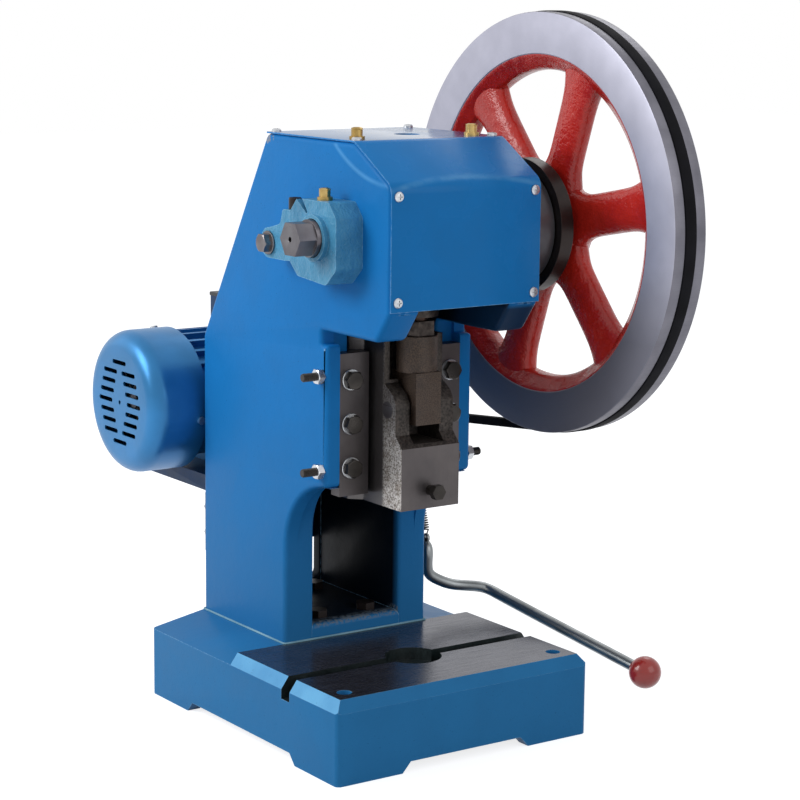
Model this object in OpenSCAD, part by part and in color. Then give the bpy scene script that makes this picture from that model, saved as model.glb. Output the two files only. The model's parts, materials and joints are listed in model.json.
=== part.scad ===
// Bench punch press, about two tonnes: C-frame on a slotted base, crank-driven ram,
// spoked flywheel with a key clutch, and a belt from a motor behind the column.
// X runs along the crankshaft, Y runs from the operator to the back, Z is up from the bench.

/* [Base] */
// Width of the base
base_w = 285; // [280:1:330]
// Distance from the die axis to the front of the base
base_front = 87; // [80:1:110]
// Distance from the die axis to the back of the base and column
base_back = 251; // [240:1:300]
// Height of the side walls of the base
base_h = 67; // [60:1:75]
// Height of the machined table
table_h = 78; // [76:1:94]
// Thickness of the table plate over the hollow
table_t = 34; // [30:1:40]
// Wall of the base casting
base_wall = 14; // [10:1:18]
// Length of each corner foot
foot_l = 70; // [50:1:90]
// Height of the gap between the feet
foot_h = 10; // [6:1:14]
// Width of the bevel round the table
table_bevel = 8; // [5:1:12]
// Diameter of the die recess
die_recess_d = 54; // [44:1:60]
// Depth of the die recess
die_recess_h = 12; // [8:1:16]
// Diameter of the slug hole below the die
slug_hole_d = 34; // [24:1:40]
// Width of the tool slot
slot_w = 14; // [10:1:18]
// Depth of the tool slot
slot_h = 20; // [14:1:26]
// Diameter of the two bench bolt holes
bench_hole_d = 14; // [10:1:16]
// Distance of the bench bolt holes from the centre plane
bench_hole_x = 119; // [110:1:122]
// Distance of the bench bolt holes from the die axis
bench_hole_y = 62; // [55:1:64]

/* [Frame] */
// Width of the column and head
frame_w = 165; // [150:1:180]
// Thickness of each side plate of the column
side_t = 33; // [28:1:36]
// Throat: distance from the die axis to the column
throat = 97; // [94:1:112]
// Height of the back corner where the column starts to lean forward
back_corner_z = 359; // [330:1:380]
// Distance of the top back corner from the die axis
top_back = 131; // [120:1:145]
// Height of the frame to the top of the cover
frame_h = 566; // [560:1:580]
// Radius of the throat
throat_r = 71; // [50:1:72]
// Height of the underside of the guide
guide_bottom = 243; // [235:1:246]
// Distance from the die axis to the front of the guide
guide_front = 25.3; // [25:0.1:27]
// Height of the top of the guide face
guide_top = 377; // [370:1:383]
// Height of the underside of the head
head_bottom = 390; // [386:1:396]
// Distance from the die axis to the front of the head
head_front = 76; // [72:1:80]
// Height where the front of the head begins
head_lip = 419; // [414:1:424]
// Height where the front of the head bends back
head_bend = 530; // [520:1:536]
// Distance from the die axis to the front edge of the top
top_front = 17; // [14:1:24]
// Thickness of the cover sheet
sheet_t = 1.5; // [1:0.1:2]

/* [Ram and gibs] */
// Width of the ram block
ram_w = 65; // [60:1:68]
// Depth of the ram block
ram_d = 48; // [44:1:48]
// Height of the bottom of the ram at the top of its stroke
ram_bottom = 225.5; // [220:0.5:232]
// Height of the solid block of the ram
ram_block_h = 61; // [54:1:62]
// Length of the slide behind the ram block
slide_l = 158; // [150:1:160]
// Height of the wrist pin above the bottom of the ram
wrist_z = 91.5; // [90:0.5:94]
// Diameter of the wrist pin
wrist_d = 16; // [14:1:18]
// Half width of the pocket between the ram cheeks
pocket_half = 17; // [16.5:0.5:19]
// Diameter of the punch shank hole
shank_d = 25; // [20:1:30]
// Depth of the punch shank hole
shank_h = 45; // [40:1:50]
// Width of each gib plate
gib_w = 32; // [28:1:34]
// Thickness of each gib plate
gib_t = 14; // [12:1:15]
// Length of each gib
gib_l = 134; // [126:1:136]
// Distance from the centre plane to the inner edge of each gib plate
gib_inner = 36; // [35.5:0.5:37]
// Half width of the slide
slide_half = 43; // [42:1:43.5]

/* [Crank and connecting rod] */
// Height of the crankshaft
crank_z = 480; // [476:1:486]
// Throw of the crank, half the stroke
throw = 15; // [10:1:16]
// Diameter of the main journals
journal_d = 40; // [36:1:44]
// Diameter of the crank pin
pin_d = 38; // [34:1:40]
// Diameter of the crank webs
web_d = 78; // [76:1:84]
// Distance from the centre plane to the left end of the shaft
shaft_left = 138.5; // [134:0.5:144]
// Wall of the main bushes
bush_t = 4; // [3:0.5:5]
// Diameter of the brake drum on the shaft
drum_d = 50; // [46:1:52]
// Width of the brake block
brake_w = 28.5; // [24:0.5:30]
// Thickness of the brake lining
lining_t = 4; // [3:0.5:5]
// Outer diameter of the connecting rod's big end
big_end_d = 64; // [60:1:68]
// Width of the connecting rod's big end
big_end_w = 44; // [36:1:46]
// Diameter of the adjusting screw
adjust_d = 22; // [18:1:23]
// Diameter of the round top of the rod's block
rod_cap_d = 38.4; // [34:0.1:40]
// Width across flats of the lock nut
lock_nut_af = 30; // [27:1:34]

/* [Clutch and flywheel] */
// Diameter of the flywheel
wheel_d = 398; // [370:1:410]
// Width of the flywheel rim
wheel_w = 36.7; // [32:0.1:40]
// Distance from the centre plane to the left face of the rim
wheel_x = 136.1; // [134:0.1:140]
// Radial height of the rim
rim_h = 40; // [30:1:44]
// Diameter of the flywheel hub
hub_d = 84; // [78:1:92]
// Thickness of the spokes
spoke_t = 24; // [20:1:28]
// Width of the spokes halfway out
spoke_w = 40; // [32:1:44]
// Number of spokes
spokes = 6; // [5:1:7]
// Diameter of the shaft inside the flywheel
wheel_shaft_d = 35; // [30:1:36]
// Diameter of the clutch collar
collar_d = 110; // [106:1:114]
// Diameter of the clutch ring
clutch_ring_d = 127; // [122:1:132]
// Width of the top of the belt
belt_w = 13; // [10:1:14]
// Height of the belt
belt_h = 8; // [6:1:9]

/* [Motor] */
// Distance of the motor shaft behind the die axis
motor_y = 330; // [328:1:345]
// Height of the motor shaft
motor_z = 283; // [275:1:290]
// Height of the motor shaft above its feet
motor_foot_h = 71; // [71:1:75]
// Diameter of the fan cowl
cowl_d = 145; // [140:1:148]
// Distance from the centre plane to the face of the cowl
cowl_x = 134.4; // [130:0.2:140]
// Length of the cowl
cowl_l = 60; // [52:1:64]
// Wall of the cowl
cowl_t = 1.6; // [1.2:0.1:2.5]
// Diameter of the motor housing under its fins
housing_d = 122; // [118:1:124]
// Diameter of the motor shaft
motor_shaft_d = 14; // [12:1:16]
// Diameter of the motor pulley
pulley_d = 70; // [64:1:76]
// Thickness of the motor plate
plate_t = 16; // [12:1:20]

/* [Lever] */
// Diameter of the lever rod
lever_d = 11; // [9:0.5:12]
// Diameter of the ball knob
knob_d = 30.5; // [26:0.5:34]
// Distance of the lever's pivot behind the die axis
lever_pivot_y = 152; // [148:1:156]
// Height of the lever's pivot
lever_pivot_z = 149; // [145:1:153]
// Distance along the lever from its pivot to the pull rod
link_arm = 28; // [24:1:30]
// Height of the pull rod between its eyes
link_rise = 252; // [248:1:256]

/* [Hidden] */
$fn = 64;

// clearances
run = 0.05;        // running fit of shafts in bushes
slip = 0.03;       // sliding fit of the ram in its gibs
loose = 0.3;       // free clearance
cut = 1;           // overrun of cuts

half_w = frame_w / 2;
inner = half_w - side_t;                        // half the space between the side plates
gib_outer = gib_inner + gib_w;
gib_bottom = guide_bottom - 8.6;
gib_seat_y = guide_front + gib_t;               // face behind the gib plates
slide_back = gib_seat_y + 20.7;                 // back face of the ram's slide
vee_run = slide_half - ram_w / 2;               // depth of the slide's sloped flank
gib_lip = 5.5;                                  // thickness of the gib beside the slide
channel_half = slide_half + gib_lip + 0.1;
web_t = 26;                                     // guide web behind the ram
back_t = 12;                                    // back wall of the column
floor_t = 14;                                   // foot of the column
set_screw_y = guide_front + 9.2;
set_screw_zs = [guide_bottom + 16, guide_bottom + 105];
gib_bolt_x = gib_outer - 12;
gib_bolt_zs = [for (k = [-1:1]) gib_bottom + 68 + k * 41.4];
screw_d = 8;                                    // M8 set screws
gib_bolt_d = 10;

wrist_height = ram_bottom + wrist_z;
pin_height = crank_z + throw;                   // crank pin at the top of the stroke
bush_r = journal_d / 2 + bush_t;

brake_left = -half_w - brake_w;
brake_wall = 6;                                 // outer wall of the block, which hides the drum
stub_r = 17;                                    // round end of the shaft, which passes through it
hex_af = 29;                                    // hexagon for a hand wrench
hex_l = 18;
clamp_screw = [brake_left + 14, 57];
anchor_y = 90;
anchor_z = crank_z - 13;
collar_left = half_w + 9;
collar_right = wheel_x - 19.6;
ring_left = collar_right + 0.5;
ring_right = wheel_x - 4.8;
hub_left = ring_right;
hub_right = wheel_x + wheel_w + 1.2;
washer_r = 30;
washer_t = 5;
end_head_h = 7;
key_r = 6;
key_orbit = 34;                                 // key axis from the crank axis
key_angle = -53;
tail_reach = 59.5;                              // end of the key's tail from the crank axis
finger_x = half_w + 1.5;
finger_t = 5;

belt_x = wheel_x + wheel_w / 2;
groove_angle = 19;
belt_out_r = wheel_d / 2 + 1;
belt_in_r = belt_out_r - belt_h;
pulley_belt_r = pulley_d / 2 + 0.3 - belt_h;
belt_inner_w = belt_w - 2 * belt_h * tan(groove_angle);
centres = norm([motor_y, motor_z - crank_z]);
centre_angle = atan2(motor_z - crank_z, motor_y);
wrap = acos((belt_in_r - pulley_belt_r) / centres);

plate_top = motor_z - motor_foot_h;
cowl_r = cowl_d / 2;
cowl_back = -cowl_x + cowl_l;
cowl_slot_l = 28;
cowl_slot_h = 4.4;
cowl_slot_pitch = 10.2;
housing_r = housing_d / 2;
housing_x0 = cowl_back + 2;
housing_x1 = 104;
shield_t = 14;
bearing_r = 17.5;
bearing_w = 11;
foot_xs = [-20, 70];
foot_y = 56;
shaft_end = belt_x + 11;
plate_y1 = motor_y + 74;
plate_x0 = cowl_back + 4;
plate_x1 = 92;
flange_h = 60;
flange_half = half_w - 7.5;
flange_t = 10;
flange_bolt_zs = [plate_top - plate_t - 16, plate_top - plate_t - 42];

lever_x = half_w + 17.5;
link_x = finger_x + finger_t + 0.5;             // inner face of the pull rod's eyes
link_t = 4;
link_lean = 22;
eye_y = lever_pivot_y - link_arm;
finger_pivot = [lever_pivot_y + link_lean, lever_pivot_z + link_rise];
finger_eye = [eye_y + link_lean, lever_pivot_z + link_rise];
// centre line of the hand lever, chosen by hand, from its hub to the ball
lever_route = [
    [lever_x, lever_pivot_y, lever_pivot_z],
    [lever_x, 117, 149],
    [lever_x, 120, 122],
    [110, 117, 111.5],
    [124, 112.4, 105],
    [140, 105, 103],
    [151, 99, 102],
    [161, 92, 98.5],
    [171, -136, 68]
];
knob_at = lever_route[len(lever_route) - 1];
spring_bottom = [lever_x, 121, 156];
spring_top = [lever_x, 140, 214];
spring_r = 4;
spring_wire = 1.4;
spring_turns = 16;

cup_r = 5;
cup_h = 9;
cup_flange_h = 3;
brake_cup_x = -half_w - 18;
brake_top = crank_z + 33;
cups = [
    [-half_w + 14.5, 0, frame_h],
    [half_w - 23.5, 0, frame_h],
    [brake_cup_x, 2, brake_top]
];
cover_screw_zs = [head_lip + 9, head_bend - 9];
cover_screw_x = half_w - 7.5;
top_screw_ys = [-10, 125];
cover_hole = [15, 41];                          // round hole in the top of the cover
cover_hole_d = 24;

// the part's own origin: the middle of its box on the bench
front_end = -belt_out_r;
back_end = plate_y1;
left_end = -base_w / 2;
right_end = max(hub_right + 0.5 + washer_t + end_head_h, knob_at.x + knob_d / 2);
middle = [(left_end + right_end) / 2, (front_end + back_end) / 2];

// ---- helpers ----

// moves the press from its die axis to the part's origin
module place() translate([-middle.x, -middle.y, 0]) children();

// extrudes a (Y, Z) outline along X
module along_x(x0, x1) translate([x0, 0, 0]) rotate([90, 0, 90]) linear_extrude(x1 - x0) children();

// extrudes an (X, Z) outline along Y
module along_y(y0, y1) translate([0, y1, 0]) rotate([90, 0, 0]) linear_extrude(y1 - y0) children();

// extrudes an (X, Y) outline along Z
module along_z(z0, z1) translate([0, 0, z0]) linear_extrude(z1 - z0) children();

// a round bar along X through (y, z)
module bar_x(x0, x1, r, y, z) translate([x0, y, z]) rotate([0, 90, 0]) cylinder(h = x1 - x0, r = r);

// a round bar along Y through (x, z)
module bar_y(y0, y1, r, x, z) translate([x, y0, z]) rotate([-90, 0, 0]) cylinder(h = y1 - y0, r = r);

// a round bar along Z through (x, y)
module bar_z(z0, z1, r, x, y) translate([x, y, z0]) cylinder(h = z1 - z0, r = r);

// turns an (r, x) outline about the X line through (y, z)
module about_x(y, z) translate([0, y, z]) rotate([90, 0, 90]) rotate_extrude($fn = 128) children();

// a hexagonal prism along Z, by its width across flats
module hexagon(af, h) cylinder(h = h, d = af / cos(30), $fn = 6);

// mirrors a right-hand piece to give the pair
module pair() {
    children();
    mirror([1, 0, 0]) children();
}

// a round bar between two points
module strut(a, b, r) {
    d = b - a;
    translate(a)
        rotate([0, acos(d.z / norm(d)), atan2(d.y, d.x)])
            cylinder(h = norm(d), r = r);
}

function unit(v) = v / norm(v);

// the arc that rounds corner b of a path a, b, c
function corner_arc(a, b, c, r, n) =
    let (
        u = unit(a - b),
        w = unit(c - b),
        half = acos(u * w) / 2,
        m = b + unit(u + w) * (r / sin(half)),
        p = b + u * (r / tan(half)) - m,
        q = b + w * (r / tan(half)) - m,
        a0 = atan2(p.y, p.x),
        turn = (atan2(q.y, q.x) - a0 + 540) % 360 - 180
    )
    [for (i = [0:n]) m + r * [cos(a0 + turn * i / n), sin(a0 + turn * i / n)]];

// an outline with each corner rounded by its own radius, or left sharp at 0
function rounded(pts, radii, n = 6) = [
    for (i = [0:len(pts) - 1])
        each radii[i] == 0 ? [pts[i]] : corner_arc(
            pts[(i + len(pts) - 1) % len(pts)], pts[i], pts[(i + 1) % len(pts)], radii[i], n
        )
];

// corner b of a path a, b, c moved in by t, for the inner face of a folded sheet
function inset(a, b, c, t) =
    let (
        u = unit(b - a),
        w = unit(c - b),
        n1 = [u.y, -u.x],
        n2 = [w.y, -w.x]
    )
    b + t * (n1 + n2) / (1 + n1 * n2);

// ---- base ----

module base_plan() polygon(rounded(
    [[-base_w / 2, -base_front], [base_w / 2, -base_front],
     [base_w / 2, base_back], [-base_w / 2, base_back]],
    [5, 7, 5, 5]
));

module base_section(shoulder) polygon([
    [-base_w / 2, 0], [base_w / 2, 0], [base_w / 2, base_h], [shoulder, table_h],
    [-shoulder, table_h], [-base_w / 2, base_h]
]);

module tool_slot()
    translate([-base_w, -slot_w / 2, table_h - slot_h]) cube([2 * base_w, slot_w, slot_h + cut]);

module base_hollow() {
    rib = throat + 6;
    for (span = [[-base_front + base_wall, rib - 6], [rib + 6, base_back - base_wall]])
        along_z(-cut, table_h - table_t)
            translate([-base_w / 2 + base_wall, span[0]])
                square([base_w - 2 * base_wall, span[1] - span[0]]);
}

module base_casting() color("#2b6cb0") difference() {
    intersection() {
        along_z(0, table_h) base_plan();
        union() {
            along_y(-base_front, throat + 1) base_section(base_w / 2 - table_bevel);
            along_y(throat + 1, base_back) base_section(half_w);
        }
        along_x(-base_w, base_w) polygon([
            [-base_front, 0], [-base_front, base_h], [-base_front + table_bevel, table_h],
            [base_back, table_h], [base_back, 0]
        ]);
    }
    base_hollow();
    tool_slot();
    bar_z(table_h - die_recess_h, table_h + cut, die_recess_d / 2, 0, 0);
    bar_z(0, table_h, slug_hole_d / 2, 0, 0);
    for (s = [-1, 1]) bar_z(0, table_h + cut, bench_hole_d / 2, s * bench_hole_x, -bench_hole_y);
    along_x(-base_w, base_w)
        polygon(foot_gap(-base_front + foot_l, base_back - foot_l));
    along_y(-base_front - cut, base_back + cut)
        polygon(foot_gap(-base_w / 2 + foot_l, base_w / 2 - foot_l));
    for (p = column_bolt_points) bar_z(table_h - 30, table_h + cut, 5, p.x, p.y);
}

// the gap between two feet, with slanted ends
function foot_gap(a, b) = [[a, -1], [a + foot_h, foot_h], [b - foot_h, foot_h], [b, -1]];

// ---- frame ----

column_bolt_points = [for (x = [-28, 28], y = [throat + 26, base_back - 34]) [x, y]];

cover_outline = [
    [-head_front, head_lip], [-head_front, head_bend], [-top_front, frame_h], [top_back, frame_h]
];
cover_inner = [
    [-head_front + sheet_t, head_lip],
    inset(cover_outline[0], cover_outline[1], cover_outline[2], sheet_t),
    inset(cover_outline[1], cover_outline[2], cover_outline[3], sheet_t),
    [top_back, frame_h - sheet_t]
];

module side_outline() polygon(rounded(
    [[throat, table_h], [throat, guide_bottom], [guide_front, guide_bottom],
     [guide_front, guide_top], [guide_front + 10, guide_top], [guide_front + 10, head_bottom],
     [-head_front + 22, head_bottom], [-head_front + sheet_t, head_lip - 2],
     cover_inner[1], cover_inner[2],
     cover_inner[3], [base_back, back_corner_z], [base_back, table_h]],
    [0, throat_r, 4, 2, 2, 2, 8, 4, 0, 0, 3, 12, 0],
    10
));

module back_wall() {
    back = [unit([base_back - top_back, back_corner_z - frame_h + sheet_t])];
    n = [back[0].y, -back[0].x];
    difference() {
        along_x(-inner - cut, inner + cut) polygon([
            [base_back, table_h], [base_back, back_corner_z], cover_inner[3],
            cover_inner[3] + n * back_t, [base_back - back_t, back_corner_z - 4],
            [base_back - back_t, table_h]
        ]);
        along_y(base_back - 2 * back_t, base_back + cut)
            polygon([[inner - 40, table_h + 18], [inner + 2, table_h + 18],
                     [inner + 2, table_h + 150], [inner - 40, table_h + 150]]);
    }
}

module gib_channel() {
    // seats of the two gib plates and the slide's channel between them
    along_z(gib_bottom - cut, gib_bottom + gib_l + 0.5) {
        translate([-gib_outer, guide_front - 20]) square([2 * gib_outer, gib_seat_y - guide_front + 20]);
        translate([-channel_half, guide_front - 20])
            square([2 * channel_half, slide_back + slip - guide_front + 20]);
    }
}

module frame_casting() color("#2b7cc9") difference() {
    union() {
        for (s = [-1, 1]) along_x(s > 0 ? inner : -half_w, s > 0 ? half_w : -inner) side_outline();
        along_z(table_h, table_h + floor_t)
            translate([-half_w + 1, throat]) square([frame_w - 2, base_back - throat]);
        along_x(-inner - cut, inner + cut) polygon(rounded(
            [[gib_seat_y, guide_bottom], [slide_back + web_t + 20, guide_bottom],
             [slide_back + web_t, guide_bottom + 45], [slide_back + web_t, head_bottom + 30],
             [slide_back + 6, head_bottom + 30], [slide_back + 6, head_bottom],
             [gib_seat_y, head_bottom]],
            [0, 8, 20, 4, 4, 0, 0]
        ));
        back_wall();
    }
    gib_channel();
    along_z(gib_bottom + gib_l, head_bottom + 40)
        translate([-inner, guide_front - 60]) square([2 * inner, slide_back + slip - guide_front + 60]);
    bar_x(-half_w - cut, half_w + cut, bush_r, 0, crank_z);
    for (s = [-1, 1], z = set_screw_zs)
        bar_x(s > 0 ? gib_outer - cut : -half_w - cut, s > 0 ? half_w + cut : -gib_outer + cut,
              screw_d / 2, set_screw_y, z);
    for (s = [-1, 1], z = gib_bolt_zs)
        bar_y(gib_seat_y - cut, gib_seat_y + 24, gib_bolt_d / 2, s * gib_bolt_x, z);
    for (p = column_bolt_points) bar_z(table_h - cut, table_h + floor_t + cut, 5.5, p.x, p.y);
    for (s = [-1, 1], z = cover_screw_zs)
        bar_y(-head_front, -head_front + 16, 2.5, s * cover_screw_x, z);
    for (s = [-1, 1], y = top_screw_ys)
        bar_z(frame_h - 14, frame_h, 2.5, s * cover_screw_x, y);
    for (c = [cups[0], cups[1]]) bar_z(crank_z, frame_h, 3, c.x, c.y);
    bar_x(-half_w - cut, -half_w + 22, 5, anchor_y, anchor_z);
    bar_x(half_w - 18, half_w + cut, 5, lever_pivot_y, lever_pivot_z);
    bar_x(half_w - 18, half_w + cut, 4, finger_pivot.x, finger_pivot.y);
    bar_x(half_w - 12, half_w + cut, 3, spring_top.y, spring_top.z);
    for (s = [-1, 1], z = flange_bolt_zs)
        bar_y(base_back - 20, base_back + cut, 4, s * (half_w - side_t / 2), z);
}

module column_bolts() color("#5a5a5c") for (p = column_bolt_points) {
    bar_z(table_h - 24, table_h + floor_t, 5, p.x, p.y);
    translate([p.x, p.y, table_h + floor_t]) hexagon(17, 7);
}

module head_cover() color("#2468ad") difference() {
    along_x(-half_w + 0.5, half_w - 0.5) polygon(concat(
        cover_outline,
        [for (i = [3:-1:0]) cover_inner[i]]
    ));
    for (s = [-1, 1], z = cover_screw_zs)
        bar_y(-head_front - cut, -head_front + 3, 2.8, s * cover_screw_x, z);
    for (s = [-1, 1], y = top_screw_ys)
        bar_z(frame_h - 3, frame_h + cut, 2.8, s * cover_screw_x, y);
    bar_z(frame_h - 3, frame_h + cut, cover_hole_d / 2, cover_hole.x, cover_hole.y);
    for (c = [cups[0], cups[1]]) bar_z(frame_h - 3, frame_h + cut, 3, c.x, c.y);
}

module pan_screw(h) {
    // head on the Z = 0 plane, shank below it
    translate([0, 0, -h]) cylinder(h = h, d = 5);
    difference() {
        translate([0, 0, 0]) rotate_extrude() polygon([[0, 0], [4.6, 0], [4.6, 1.6], [3.6, 2.8], [0, 3.2]]);
        for (a = [0, 90]) rotate(a) translate([-2.6, -0.5, 1.4]) cube([5.2, 1, 3]);
    }
}

module cover_screws() color("#c9ccd1") {
    for (s = [-1, 1], z = cover_screw_zs)
        translate([s * cover_screw_x, -head_front, z]) rotate([90, 0, 0]) pan_screw(12);
    for (s = [-1, 1], y = top_screw_ys)
        translate([s * cover_screw_x, y, frame_h]) pan_screw(11);
}

// ---- gibs ----

// plan of the right gib: a front plate and the sloped lip that holds the slide
module gib_plan() {
    lip_in = slide_half + slip;
    slope_start = gib_inner + gib_seat_y - 0.5 - ram_w / 2 - 0.05;
    polygon([
        [gib_inner, guide_front], [gib_outer, guide_front], [gib_outer, gib_seat_y],
        [channel_half, gib_seat_y], [channel_half, slide_back - 2],
        [lip_in, slide_back - 2], [lip_in, slope_start + lip_in - gib_inner],
        [gib_inner, slope_start]
    ]);
}

module gib(s) difference() {
    along_z(gib_bottom, gib_bottom + gib_l) mirror([s < 0 ? 1 : 0, 0]) gib_plan();
    for (z = gib_bolt_zs)
        bar_y(guide_front - cut, gib_seat_y + cut, gib_bolt_d / 2 + loose, s * gib_bolt_x, z);
}

module left_gib() color("#4b4848") gib(-1);
module right_gib() color("#4b4848") gib(1);

module gib_bolts() color("#2f2e2f") for (s = [-1, 1], z = gib_bolt_zs) {
    bar_y(guide_front - 2, gib_seat_y + 22, gib_bolt_d / 2, s * gib_bolt_x, z);
    translate([s * gib_bolt_x, guide_front - 2, z]) rotate([90, 0, 0]) hexagon(16, 6.5);
}

module gib_washers() color("#8d8f92") for (s = [-1, 1], z = gib_bolt_zs) difference() {
    bar_y(guide_front - 2, guide_front, 10, s * gib_bolt_x, z);
    bar_y(guide_front - 3, guide_front + cut, gib_bolt_d / 2 + 0.2, s * gib_bolt_x, z);
}

// side, height and overhang of each set screw; the one behind the flywheel is flush, without a nut
set_screws = [
    [-1, set_screw_zs[0], 21], [-1, set_screw_zs[1], 21], [1, set_screw_zs[0], 17], [1, set_screw_zs[1], -1]
];

module gib_set_screws() color("#3a3838") for (q = set_screws)
    mirror([q[0] < 0 ? 1 : 0, 0, 0]) difference() {
        bar_x(gib_outer, half_w + q[2], screw_d / 2, set_screw_y, q[1]);
        translate([half_w + q[2] - 4, set_screw_y, q[1]]) rotate([0, 90, 0]) hexagon(4, 5);
    }

module set_screw_nuts() color("#c4c6c9") for (q = set_screws) if (q[2] > 0)
    mirror([q[0] < 0 ? 1 : 0, 0, 0]) difference() {
        translate([half_w, set_screw_y, q[1]]) rotate([0, 90, 0]) hexagon(13, 6.5);
        bar_x(half_w - cut, half_w + 8, screw_d / 2, set_screw_y, q[1]);
    }

// ---- main bearings and brake ----

module main_bush(x0, x1, cup) difference() {
    bar_x(x0, x1, bush_r, 0, crank_z);
    bar_x(x0 - cut, x1 + cut, journal_d / 2 + run, 0, crank_z);
    bar_z(crank_z, crank_z + bush_r + cut, 2, cup.x, cup.y);
}

module left_main_bush() color("#b0823c") main_bush(-half_w, -inner, cups[0]);
module right_main_bush() color("#b0823c") main_bush(inner, half_w, cups[1]);

lining_r = drum_d / 2 + run + lining_t;
brake_ear_z = crank_z + 20;

module brake_block() color("#4a90b8") difference() {
    union() {
        along_x(brake_left, -half_w) polygon(rounded(
            [[-32, crank_z - 26], [-16, crank_z - 41], [31, crank_z - 37], [44, crank_z - 25],
             [44, crank_z + 20], [32, crank_z + 33], [-20, crank_z + 33], [-32, crank_z + 19]],
            [5, 5, 5, 4, 3, 3, 6, 6]
        ));
        along_x(brake_left + 6, -half_w) polygon(rounded(
            [[40, crank_z - 25], [62, crank_z - 27], [anchor_y, anchor_z - 14],
             [anchor_y + 14, anchor_z], [anchor_y, anchor_z + 14], [70, crank_z + 6],
             [66, brake_ear_z], [40, brake_ear_z]],
            [0, 6, 6, 6, 6, 6, 4, 0]
        ));
        bar_x(brake_left + 6, -half_w, 14, anchor_y, anchor_z);
        bar_x(brake_left - 5, brake_left + 1, stub_r + 4, 0, crank_z);
    }
    bar_x(brake_left + brake_wall, -half_w + cut, lining_r, 0, crank_z);
    bar_x(brake_left - 6, -half_w + cut, stub_r + 2 * loose, 0, crank_z);
    bar_z(brake_ear_z - 16, brake_ear_z + cut, 3.2, clamp_screw.x, clamp_screw.y);
    bar_x(brake_left - cut, -half_w + cut, 5.4, anchor_y, anchor_z);
    // the split that lets the block close on its lining
    along_x(brake_left - cut, -half_w + cut)
        polygon([[14, crank_z + 22], [16, crank_z + 20], [44, crank_z + 40], [32, crank_z + 44]]);
    bar_z(crank_z, brake_top + cut, 3, brake_cup_x, 2);
}

module brake_lining() color("#7a5a3a") difference() {
    bar_x(brake_left + brake_wall + 1, -half_w - 1, lining_r, 0, crank_z);
    bar_x(brake_left, -half_w, drum_d / 2 + run, 0, crank_z);
}

module brake_bolt() color("#9a8a78") {
    bar_x(brake_left + 4, -half_w + 20, 5, anchor_y, anchor_z);
    bar_x(brake_left + 4, brake_left + 6, 11, anchor_y, anchor_z);
    translate([brake_left - 3, anchor_y, anchor_z]) rotate([0, 90, 0]) hexagon(16, 7);
    // the screw that closes the block on its lining
    bar_z(brake_ear_z - 15, brake_ear_z, 3, clamp_screw.x, clamp_screw.y);
    bar_z(brake_ear_z, brake_ear_z + 11, 6, clamp_screw.x, clamp_screw.y);
}

// ---- oil cups ----

module cup_body() {
    difference() {
        union() {
            translate([0, 0, -3.5]) cylinder(h = 3.5, r = 3);
            cylinder(h = cup_flange_h, r = cup_r + 2);
            cylinder(h = cup_h, r = cup_r);
            translate([-1.5, cup_r - 1, cup_flange_h]) cube([3, 3.4, cup_h - cup_flange_h - 0.6]);
        }
        translate([0, 0, 2]) cylinder(h = cup_h, r = cup_r - 1);
        translate([0, 0, -4]) cylinder(h = 7, r = 1);
    }
}

module oil_cups() color("#c09a4a") for (c = cups) translate(c) cup_body();

module cup_lid(c) translate(c) translate([0, 0, cup_h + 0.1]) {
    cylinder(h = 0.9, r = cup_r + 0.3);
    translate([0, 0, 0.9]) cylinder(h = 1, r1 = cup_r + 0.3, r2 = cup_r - 1.5);
    translate([-1.4, -cup_r - 1.8, 0]) cube([2.8, 2.4, 1]);
    translate([-1.5, cup_r - 1, 0]) cube([3, 3.4, 1]);
}

module left_cup_lid() color("#b8954a") cup_lid(cups[0]);
module right_cup_lid() color("#b8954a") cup_lid(cups[1]);
module brake_cup_lid() color("#b8954a") cup_lid(cups[2]);

// ---- crankshaft and clutch ----

module crankshaft() color("#7d7975") difference() {
    union() {
        translate([-shaft_left, 0, crank_z]) rotate([0, 90, 0]) rotate(30) hexagon(hex_af, hex_l + 1);
        bar_x(-shaft_left + hex_l, -half_w - 1, stub_r, 0, crank_z);
        bar_x(brake_left + brake_wall + 1, -half_w, drum_d / 2, 0, crank_z);
        bar_x(-half_w, -big_end_w / 2, journal_d / 2, 0, crank_z);
        for (s = [-1, 1])
            bar_x(s > 0 ? big_end_w / 2 + 0.5 : -inner + 0.5, s > 0 ? inner - 0.5 : -big_end_w / 2 - 0.5,
                  web_d / 2, 0, crank_z);
        bar_x(-big_end_w / 2 - 1, big_end_w / 2 + 1, pin_d / 2, 0, pin_height);
        bar_x(big_end_w / 2, collar_right, journal_d / 2, 0, crank_z);
        bar_x(collar_right, hub_right + 0.4, wheel_shaft_d / 2, 0, crank_z);
    }
    bar_x(-shaft_left - cut, -shaft_left + 8, 2.4, 0, crank_z);
    bar_x(hub_right - 24, hub_right + cut, 6, 0, crank_z);
    // the journal beside the pin is cut away so that the big end can pass
    difference() {
        bar_x(-big_end_w / 2 - 0.5, big_end_w / 2 + 0.5, web_d, 0, crank_z);
        bar_x(-big_end_w, big_end_w, pin_d / 2, 0, pin_height);
    }
}

key_at = [key_orbit * cos(key_angle), crank_z + key_orbit * sin(key_angle)];

module clutch_collar() color("#2c2826") difference() {
    union() {
        bar_x(collar_left, collar_right - 0.1, collar_d / 2, 0, crank_z);
        bar_x(half_w + 0.5, collar_left, journal_d / 2 + 3.5, 0, crank_z);
    }
    bar_x(half_w, collar_right, journal_d / 2, 0, crank_z);
    bar_x(half_w, collar_right, key_r + run, key_at.x, key_at.y);
}

module clutch_key() color("#8a8580") {
    bar_x(finger_x + 1, collar_right - 0.5, key_r, key_at.x, key_at.y);
    translate([finger_x + 1, 0, crank_z]) rotate([key_angle, 0, 0])
        translate([0, key_orbit, -4]) cube([5.5, tail_reach - key_orbit, 8]);
}

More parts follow.
